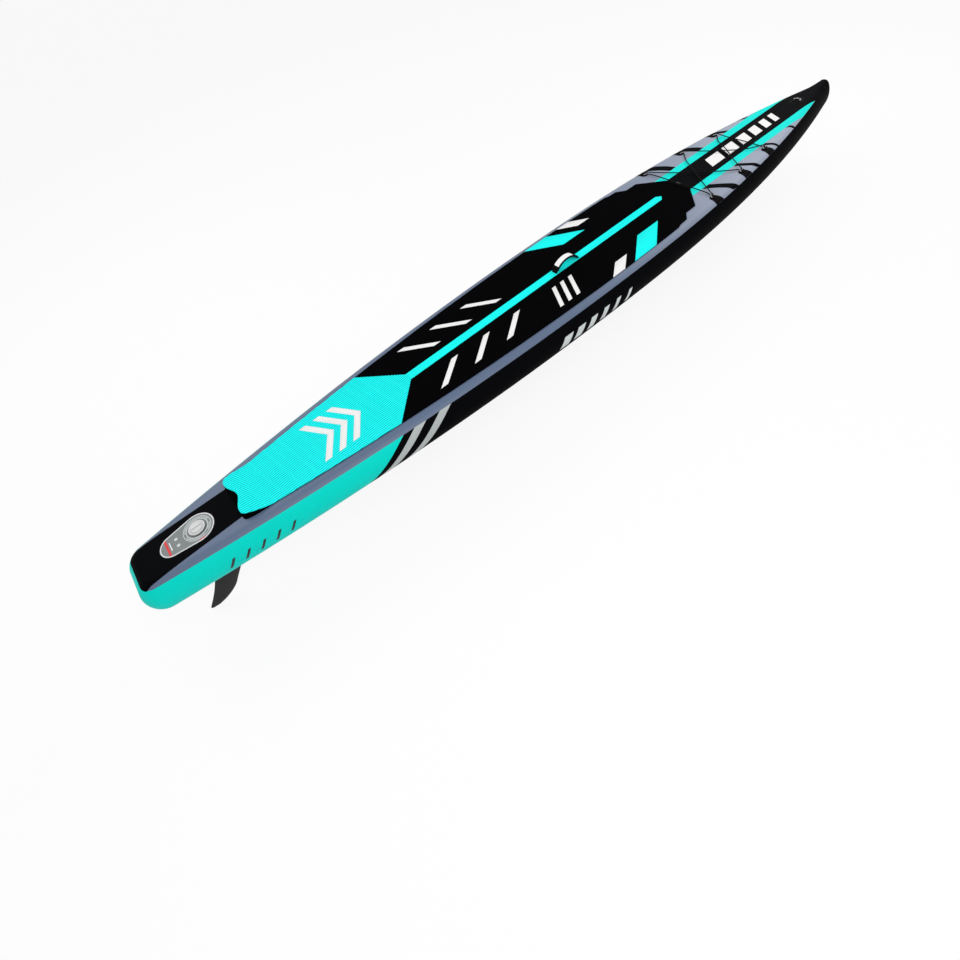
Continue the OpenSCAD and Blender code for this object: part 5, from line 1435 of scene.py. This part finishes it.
class Anchor:
    """A place for a sewn loop and its ring. Its own X runs forward, or inboard from port (1) or starboard."""

    def __init__(self, x, y, z, side=0):
        self.x, self.y, self.z, self.side = x, y, z, side

    def place(self, local):
        """Points from the anchor's own place to the board's."""
        a, b, c = np.asarray(local, float).T
        if self.side:
            a, b = self.side * b, -self.side * a
        return np.stack([self.x + a, self.y + b, self.z + c], -1)

    def ring(self, name, radius, wire, degrees):
        """A D-shaped ring: a bow with rounded corners and a straight bar, tilted about the bar."""
        bow = arc(0, radius, np.linspace(-np.pi / 2, np.pi / 2, 30)[1:-1]) + (0.2 * MM, 0)
        end = radius - 3.5 * MM
        bar = np.stack([np.zeros(8), np.linspace(end, -end, 8)], -1)
        x, y = curve_through(np.concatenate([bow, bar]), 3, closed=True).T
        tilt = math.radians(degrees)
        path = self.place(np.stack([x * math.cos(tilt), y, x * math.sin(tilt)], -1))
        return hose(name, path, wire, 14, True)

    def loop(self, name, bar, wide, tail):
        """Webbing that comes up round a ring's bar and lies back on its own tail."""
        r = bend(bar)
        over = LOOP_THICK * 1.05 - r
        line = [(-tail, -r), (-tail * 0.5, -r), *arc(0, r, np.linspace(-np.pi / 2, np.pi * 0.86, 20)),
                (-r * 1.55, -r * 0.25), (-r * 2.1, over), (-tail, over)]
        line = curve_through(line, 3)
        path = self.place(np.stack([line[:, 0], np.zeros(len(line)), line[:, 1]], -1))
        up = self.place([(0, 1, 0)]) - self.place([(0, 0, 0)])
        return sweep(name, path, rounded_box(wide, LOOP_THICK, LOOP_THICK * 0.45), up[0])

    def seams(self, bar, wide, tail):
        """Stitch rows on a loop's tail: a box with a cross in it."""
        z = LOOP_THICK * 1.6 - bend(bar)
        x0, x1, y = -tail + 1.5 * MM, -bar * 2 - 2.2 * MM, wide / 2 - 1.6 * MM
        a, b, c, d = [(x0, -y, z), (x1, -y, z), (x1, y, z), (x0, y, z)]
        return [self.place(resample(line, count)) for line, count in
                (((a, b, c, d, a), 40), ((a, c), 12), ((d, b), 12))]


def bungee_patch(name, x, side):
    """Patch over the rail from the seam to past a ring, wide at the seam and round at its inner end."""
    d0 = seam_inset(size("deck_seam")) + 0.3 * MM
    d1 = size("rail_reach") + RING_INSET + 15 * MM
    rest = 1 - PATCH_ROUND
    share = np.concatenate([np.linspace(0, PATCH_ROUND, 22),
                            PATCH_ROUND + rest * np.sin(np.linspace(0, np.pi / 2, 14))[1:]])
    fall = np.sqrt(np.clip(1 - ((share - PATCH_ROUND) / rest).clip(0) ** 2, 0.0004, 1))
    wide = (PATCH_WIDE + (PATCH_NARROW - PATCH_WIDE) * share) * fall
    d = (d0 + (d1 - d0) * share)[:, None]
    px = x + wide[:, None] * np.linspace(-0.5, 0.5, 15)
    at = Outline.at(px, side)
    qx, qy = px - at.nx * d, at.y - at.ny * d
    return slab(name, on_hull(qx, qy, 1.1 * MM), on_hull(qx, qy, 0.1 * MM))


class BOARD_OT_bungee(bpy.types.Operator):
    """Bungee patches, sewn loops, steel rings and the braided shock cord with its sleeve"""
    bl_idname = "board.bungee"
    bl_label = "Bungee"

    def execute(self, context):
        rows = []
        loop = {"bar": 2.1 * MM, "wide": 20 * MM, "tail": 14 * MM}
        for i, x in enumerate(BUNGEE_X):
            for side, sign in SIDES:
                tag, first = f"{side}_{i + 1}", i == 0 and sign == 1
                anchor = Anchor(x, sign * (full_half(x) - size("rail_reach") - RING_INSET), RING_Z, sign)
                patch = bungee_patch("bungee_patch_" + tag, x, sign)
                strap = anchor.loop("bungee_loop_" + tag, **loop)
                ring = anchor.ring("bungee_ring_" + tag, 14 * MM, 1.9 * MM, 25)
                for piece, material, slot, node, angle in (
                        (patch, "black_patch", "black_pvc", "bungee_patches", 32),
                        (strap, "black_webbing", "webbing", "bungee_loops", 32),
                        (ring, "steel", "steel", "bungee_rings", 60)):
                    settle(piece, material, slot, *([node] if first else []), angle=angle)
                rows += anchor.seams(**loop)
        stitches("bungee_stitches", rows, "black_thread", 0.3 * MM)
        route = np.array(CORD) * MM + (0, 0, DECK_Z)
        laced = hose("shock_cord", curve_through(route, 9, closed=True), 2.5 * MM, 12, closed=True)
        settle(laced, "shock_cord", "cord", "bungee_cord", angle=60)
        half, out, hole = 11 * MM, 3.8 * MM, 2.6 * MM
        profile = [(hole, half), (out - 0.5 * MM, half), (out, half - 0.6 * MM), (out, half - 4 * MM),
                   (out - 0.4 * MM, half - 4.6 * MM)]
        profile = [(r, -h) for r, h in profile] + profile[::-1]
        sleeve = lathe("cord_sleeve", profile, midpoint("bungee_joiner"), 24, along_y=True)
        settle(sleeve, "black_rubber", "black_rubber", "bungee_joiner")
        return {"FINISHED"}


class BOARD_OT_nose_ring(bpy.types.Operator):
    """Nose patch, sewn loop and the ring that folds over it"""
    bl_idname = "board.nose_ring"
    bl_label = "Nose ring"

    def execute(self, context):
        rear, front = low("nose_patch"), high("nose_patch")
        outline = stadium(*(front - rear)[:2], midpoint("nose_patch"), 30)
        patch = plate("nose_patch_sheet", outline, rear[2], front[2], 0.4 * MM)
        settle(patch, "black_patch", "black_pvc", "nose_patch")
        anchor = Anchor(low("nose_ring")[0] + 2.5 * MM, 0, high("nose_loop")[2] - 3.9 * MM)
        loop = {"bar": 2.5 * MM, "wide": 26 * MM, "tail": 22 * MM}
        settle(anchor.loop("nose_loop_strap", **loop), "black_webbing", "webbing", "nose_loop")
        stitches("nose_loop_stitches", anchor.seams(**loop), "black_thread", 0.3 * MM)
        ring = anchor.ring("nose_steel_ring", 19 * MM, 2.3 * MM, -3.92)
        settle(ring, "steel", "steel", "nose_ring", body="nose_ring", angle=60)
        return {"FINISHED"}


# ------------------------------------------------------------------ valve

PRINT_LOW, PRINT_HIGH = -0.1 * MM, 0.2 * MM


def repaint(node, material):
    """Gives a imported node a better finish."""
    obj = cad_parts[node]
    obj.data.materials.clear()
    obj.data.materials.append(MATERIALS[material])
    for item in obj.material_slots:
        item.material = MATERIALS[material]


class BOARD_OT_valve(bpy.types.Operator):
    """Valve plate with its printed marks, valve body, plunger and cap"""
    bl_idname = "board.valve"
    bl_label = "Valve"

    def execute(self, context):
        z0, z1 = low("valve_plate")[2], high("valve_plate")[2]
        surround = plate("valve_surround", self.egg(0), z0, z1, 0.4 * MM)
        bore(surround, z0 - MM, z1 + MM)
        settle(surround, "valve_surround", "grey_pvc", "valve_plate")
        self.prints(z1)

        flange = high("valve_body")[2] - 4 * MM
        profile = [(0.0180, z1), (0.0321, z1), (0.0322, z1 + 0.0012), (0.0312, flange + 0.0001),
                   (0.0302, flange + 0.0004), (0.0285, flange + 0.0004), (0.0280, flange - 0.0001),
                   (0.0262, flange - 0.0001), (0.0257, flange + 0.0004), (0.0192, flange + 0.0004),
                   (0.0180, flange)]
        settle(lathe("valve_flange", profile, VALVE, 96), "grey_plastic", "grey_plastic")
        self.cap()
        for node, material in (("body", "grey_plastic"), ("nut", "grey_plastic"), ("plunger", "grey_plastic"),
                               ("button", "red_plastic"), ("gasket", "black_rubber"),
                               ("cap_seal", "black_rubber")):
            repaint("valve_" + node, material)
        self.spring()
        return {"FINISHED"}

    def egg(self, inset, count=40):
        """Outline of the plate: a large round front end and a smaller rear one, joined by straight sides."""
        r_front, r_rear, gap = high("valve_plate")[1], 0.047, 0.090
        lean = math.asin((r_front - r_rear) / gap)
        a = np.linspace(-np.pi / 2 - lean, np.pi / 2 + lean, count)
        b = np.linspace(np.pi / 2 + lean, 1.5 * np.pi - lean, count)
        return np.concatenate([arc(VALVE[0], r_front - inset, a), arc(VALVE[0] - gap, r_rear - inset, b)])

    def prints(self, face):
        """Border, two rings with ticks between them, and plain marks, all printed on the plate's face."""
        z0, z1 = face + PRINT_LOW, face + PRINT_HIGH
        turn = np.linspace(0, 2 * np.pi, 96, endpoint=False)
        for name, outer, inner, material in (
                ("valve_border", self.egg(1.8 * MM), self.egg(4.5 * MM), "print_white"),
                ("valve_ring_outer", arc(VALVE[0], 0.0505, turn), arc(VALVE[0], 0.0485, turn), "print_pale"),
                ("valve_ring_inner", arc(VALVE[0], 0.0405, turn), arc(VALVE[0], 0.0375, turn), "print_pale")):
            points = [at_height(*line) for line in ((outer, z0), (outer, z1), (inner, z1), (inner, z0))]
            ring = to_object(name, np.stack(points, 1), grid_quads(len(outer), 4, True, True))
            settle(ring, material, "grey_pvc")
        turn = np.radians([*range(15, 171, 6), *range(195, 286, 6), *range(315, 346, 6)])
        away, across = arc(0, 1, turn), arc(0, 1, turn + np.pi / 2)
        quad = np.stack([(VALVE[0], 0) + away * r + across * w for r, w in
                         rectangle(0.0423, -0.0013, 0.0467, 0.0013)], 1)
        points = np.concatenate([np.dstack([quad, np.full(quad.shape[:2], z)]) for z in (z0, z1)], 1)
        block = np.array([(0, 3, 2, 1), (4, 5, 6, 7), (0, 1, 5, 4), (1, 2, 6, 5), (2, 3, 7, 6), (3, 0, 4, 7)])
        faces = (block[None] + 8 * np.arange(len(turn))[:, None, None]).reshape(-1, 4)
        settle(to_object("valve_ring_ticks", points, faces, outwards=False), "print_pale", "grey_pvc")
        # rear corner with X from the valve's middle, length, width and material of each mark
        for name, x, y, along, wide, material in (
                ("bar_rear", -0.113, -0.036, 0.008, 0.072, "print_red"),
                ("bar_side", -0.012, -0.0565, 0.026, 0.0035, "print_red"),
                ("tick_1", -0.080, 0.010, 0.011, 0.011, "print_pale"),
                ("tick_2", -0.080, -0.021, 0.011, 0.011, "print_pale"),
                ("tick_3", -0.100, -0.020, 0.003, 0.040, "print_white")):
            corners = rectangle(x, y, x + along, y + wide) + (VALVE[0], 0)
            outline = corner_rounded(corners, min(along, wide) * 0.3, 4)
            settle(plate("valve_" + name, outline, z0, z1, 0.05 * MM), material, "grey_pvc")

    def cap(self):
        """Ribbed cap with a sunk top, its brim and the bar that it is turned by."""
        foot, head = low("valve_cap")[2], high("valve_cap")[2]
        top = head - 4 * MM
        brim = high("valve_cap")[1]
        inner, r = 0.0194, 0.0234
        shell = lathe("valve_cap_shell", [
            (inner, foot + 0.0003), (inner + 0.001, foot), (r, foot), (r, top - 0.0022),
            (r - 0.0007, top - 0.0006), (r - 0.0022, top), (r - 0.0040, top), (r - 0.0046, top - 0.0007),
            (0.0, top - 0.0007), (0.0, top - 0.0029), (inner, top - 0.0029)], VALVE, 180, 30, 0.8 * MM)
        rim = lathe("valve_cap_brim", [
            (r - 0.0006, foot + 0.0002), (brim - 0.0006, foot), (brim, foot + 0.0006), (brim, foot + 0.0018),
            (brim - 0.0005, foot + 0.0024), (brim - 0.0022, foot + 0.0025), (brim - 0.0028, foot + 0.0020),
            (r + 0.0012, foot + 0.0020), (r - 0.0006, foot + 0.0032)], VALVE, 180)
        grip = stadium(2 * (r - 5 * MM), 7 * MM, VALVE, 12)
        bar = plate("valve_cap_bar", grip, top - 0.8 * MM, head, 1.4 * MM, 5)
        for piece, stands_for in ((shell, ["valve_cap"]), (rim, []), (bar, [])):
            settle(piece, "pale_plastic", "grey_plastic", *stands_for, body="valve_cap")

    def spring(self):
        """Coil under the valve's button: a helix of five turns."""
        foot, head = low("valve_spring"), high("valve_spring")
        wire = 0.6 * MM
        coil = (head[0] - foot[0]) / 2 - wire
        turn = np.linspace(0, 10 * np.pi, 241)
        path = np.column_stack([arc(VALVE[0], coil, turn) + (0, VALVE[1]),
                                np.linspace(foot[2] + wire, head[2] - wire, len(turn))])
        spring = hose("valve_coil", path, wire, 10)
        settle(spring, "steel", "steel", "valve_spring", angle=60)
        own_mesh(spring)


class BOARD_OT_inside(bpy.types.Operator):
    """Finishes of the pieces inside the board: threads and seam tapes"""
    bl_idname = "board.inside"
    bl_label = "Inside"

    def execute(self, context):
        repaint("drop_threads", "white_thread")
        end = np.full(5, distance_at(HALF_LENGTH))
        share = np.concatenate([np.linspace(0, 0.012, 30), np.linspace(0.012, 0.988, 420)[1:-1],
                                np.linspace(0.988, 1, 30)])
        for node, seam in (("deck_seam_tape", size("deck_seam")), ("bottom_seam_tape", -size("bottom_seam"))):
            angles = seam + np.radians(np.linspace(-7, 7, 5))
            tape = rail_sheet(node + "_strip", -end, end, share, angles, -1.1 * MM, 0.6 * MM)
            settle(tape, "inner_tape", "inner_tape", node)
        return {"FINISHED"}


# ------------------------------------------------------------------ fin

class BOARD_OT_fin(bpy.types.Operator):
    """Fin box with its patch and rings, smooth fin blade, pin, nut plate and screw"""
    bl_idname = "board.fin"
    bl_label = "Fin and box"

    def execute(self, context):
        rear, front = low("fin_box_patch"), high("fin_box_patch")
        centre, (along, wide) = midpoint("fin_box_patch"), (front - rear)[:2]
        patch = plate("fin_patch", stadium(along, wide, centre, 36), rear[2], front[2], 0.3 * MM)
        flip_height(patch, rear[2] + front[2])
        settle(patch, "black_patch", "black_pvc", "fin_box_patch")
        for k in range(3):
            ridge = stadium(along - 3 * MM * (k + 1), wide - 4 * MM - 12 * MM * k, centre, 48)
            bead = hose(f"fin_patch_ridge_{k + 1}", at_height(ridge, rear[2]), 0.7 * MM, 8, closed=True)
            settle(bead, "black_patch", "black_pvc", angle=60)
        body = copy_of("fin_box_shell", "fin_box")
        soften(body, 0.7 * MM, 3)
        settle(body, "black_plastic", "black_plastic", "fin_box")

        top = low("fin_box")[2] - 0.3 * MM
        base = copy_of("fin_base", "fin", above=top - 0.5 * MM)
        settle(base, "fin_plastic", "black_plastic", "fin", body="fin")
        settle(self.blade(top), "fin_plastic", "black_plastic", body="fin", angle=50)
        repaint("fin_pin", "brass")
        repaint("fin_nut_plate", "brass")
        repaint("fin_screw", "steel")
        return {"FINISHED"}

    def blade(self, top):
        """Blade of the fin: leading and trailing edges are powers of the depth with a round tip, and each
        section is a foil whose half thickness follows the sine of the chord share to the power 0.6."""
        foot, head = low("fin"), high("fin")
        t = np.linspace(0, 1, 70) ** 0.8 * 0.9995

        def tip_cut(begin):
            return 1 - np.sqrt(1 - (np.clip(t - begin, 0, None) / (1 - begin)) ** 2)

        front = head[0] - 0.023 - 0.236 * t ** 0.72 - 0.060 * tip_cut(0.8)
        rear = head[0] - 0.246 - 0.121 * t ** 1.75 + 0.036 * tip_cut(0.92)
        c = (1 - np.cos(np.linspace(0, np.pi, 33))) / 2
        half = ((0.0084 + (0.003 - 0.0084) * t) / 2)[:, None] * (0.06 + 0.94 * np.sin(np.pi * c ** 0.6))
        x = front[:, None] + (rear - front)[:, None] * c
        z = np.broadcast_to((top - (top - foot[2]) * t)[:, None], x.shape)
        rings = np.concatenate([np.stack([x, half, z], -1), np.stack([x, -half, z], -1)[:, ::-1]], 1)
        rings = np.concatenate([rings[:1] + (0, 0, 2 * MM), rings])
        return to_object("fin_blade", rings, capped(*rings.shape[:2]), merge=1e-7)


# ------------------------------------------------------------------ stage

def seen_directly(n):
    """1 for what the camera sees, itself or in metal and glass, and 0 for light that falls on the board."""
    path = n.tree.nodes.new("ShaderNodeLightPath").outputs
    camera, glossy, through = (Value(n, path[f"Is {ray} Ray"])
                               for ray in ("Camera", "Glossy", "Transmission"))
    return n.math("MAXIMUM", camera, n.math("MAXIMUM", glossy, through))


class BOARD_OT_stage(bpy.types.Operator):
    """Camera, pale floor and soft light"""
    bl_idname = "board.stage"
    bl_label = "Stage"

    def execute(self, context):
        scene = context.scene
        scene.view_settings.view_transform = "Standard"
        self.camera(scene)
        self.floor()
        self.light("key_light", (-1.2, -2.6, 3.6), (0.0, 0.0, 0.1), 2.6, 2.2, 95)
        self.light("fill_light", (-2.2, 2.8, 3.0), (0.0, 0.0, 0.1), 2.6, 2.2, 45)
        self.light("rim_light", (3.4, 0.6, 2.6), (0.6, 0.0, 0.1), 2.2, 1.8, 35)
        self.world(scene)
        return {"FINISHED"}

    def camera(self, scene):
        """Camera at its place, turned from its directions ahead and up."""
        data = bpy.data.cameras.new("camera")
        data.lens, data.sensor_width = 23.07, 36.0
        data.shift_x, data.shift_y = 0.003, -0.1396
        data.clip_end = 60
        scene.camera = link("camera", data)
        ahead, up = Vector((0.3587, 0.6407, -0.6789)).normalized(), (0.5490, 0.4434, 0.7085)
        side = ahead.cross(up).normalized()
        turn = Matrix((side, side.cross(ahead), -ahead)).transposed().to_4x4()
        scene.camera.matrix_world = Matrix.Translation((-1.555, -1.712, 1.880)) @ turn

    def light(self, name, where, at, wide, deep, watts):
        """Soft rectangular lamp that faces a point."""
        data = bpy.data.lights.new(name, "AREA")
        data.shape = "RECTANGLE"
        data.size, data.size_y, data.energy = wide, deep, watts
        lamp = link(name, data)
        lamp.location = where
        lamp.rotation_euler = (Vector(at) - Vector(where)).to_track_quat("-Z", "Y").to_euler()

    def floor(self):
        """Pale floor 1 mm under the board, which glows white where it is seen directly and takes shadows."""
        corners = at_height(rectangle(-30, -30, 30, 30), CAD_BOX[0][2] - MM)
        obj = to_object("floor", corners, [(0, 1, 2, 3)], outwards=False)
        material = bpy.data.materials.new("floor")
        material.use_nodes = True
        n = Nodes(material.node_tree)
        shader = n.tree.nodes["Principled BSDF"]
        n.put(shader, "Base Color", (0.86, 0.86, 0.86, 1))
        n.put(shader, "Roughness", 0.9)
        glow = n.new("Emission", Color=(1, 1, 1, 1), Strength=1.0)
        mix = n.tree.nodes.new("ShaderNodeMixShader")
        for i, value in enumerate((seen_directly(n) * 0.88, Value(n, shader.outputs[0]), glow)):
            n.put(mix, i, value)
        n.put(n.tree.nodes["Material Output"], 0, Value(n, mix.outputs[0]))
        obj.data.materials.append(material)

    def world(self, scene):
        """White where it is seen directly, and dimmer as light on the board."""
        scene.world = bpy.data.worlds.new("world")
        scene.world.use_nodes = True
        n = Nodes(scene.world.node_tree)
        back = n.tree.nodes["Background"]
        n.put(back, "Color", (1, 1, 1, 1))
        n.put(back, "Strength", 0.55 + seen_directly(n) * 0.45)


# ------------------------------------------------------------------ panel and run

OPERATORS = (BOARD_OT_stage, BOARD_OT_skins, BOARD_OT_rails, BOARD_OT_rail_marks, BOARD_OT_deck_bands,
             BOARD_OT_nose_marks, BOARD_OT_bottom_bands, BOARD_OT_pads, BOARD_OT_handle, BOARD_OT_bungee,
             BOARD_OT_nose_ring, BOARD_OT_valve, BOARD_OT_inside, BOARD_OT_fin)


class BOARD_PT_panel(bpy.types.Panel):
    """Lists the board's sizes, colours and pieces"""
    bl_idname = "BOARD_PT_panel"
    bl_label = "Paddleboard"
    bl_space_type = "VIEW_3D"
    bl_region_type = "UI"
    bl_category = "Paddleboard"

    def draw(self, context):
        for settings in (context.scene.board_sizes, context.scene.board_colors):
            column = self.layout.box()
            for name in settings.__annotations__:
                column.prop(settings, name)
        for operator in OPERATORS:
            self.layout.operator(operator.bl_idname)


CLASSES = (BoardSizes, BoardColors, *OPERATORS, BOARD_PT_panel)


def register():
    """Registers the classes and the scene's settings."""
    for cls in CLASSES:
        bpy.utils.register_class(cls)
    bpy.types.Scene.board_sizes = bpy.props.PointerProperty(type=BoardSizes)
    bpy.types.Scene.board_colors = bpy.props.PointerProperty(type=BoardColors)


def unregister():
    """Takes them away again."""
    del bpy.types.Scene.board_sizes
    del bpy.types.Scene.board_colors
    for cls in reversed(CLASSES):
        bpy.utils.unregister_class(cls)


def main():
    """Builds every piece in order."""
    register()
    make_materials()
    for operator in OPERATORS:
        area, name = operator.bl_idname.split(".")
        getattr(getattr(bpy.ops, area), name)()


if __name__ == "__main__":
    main()
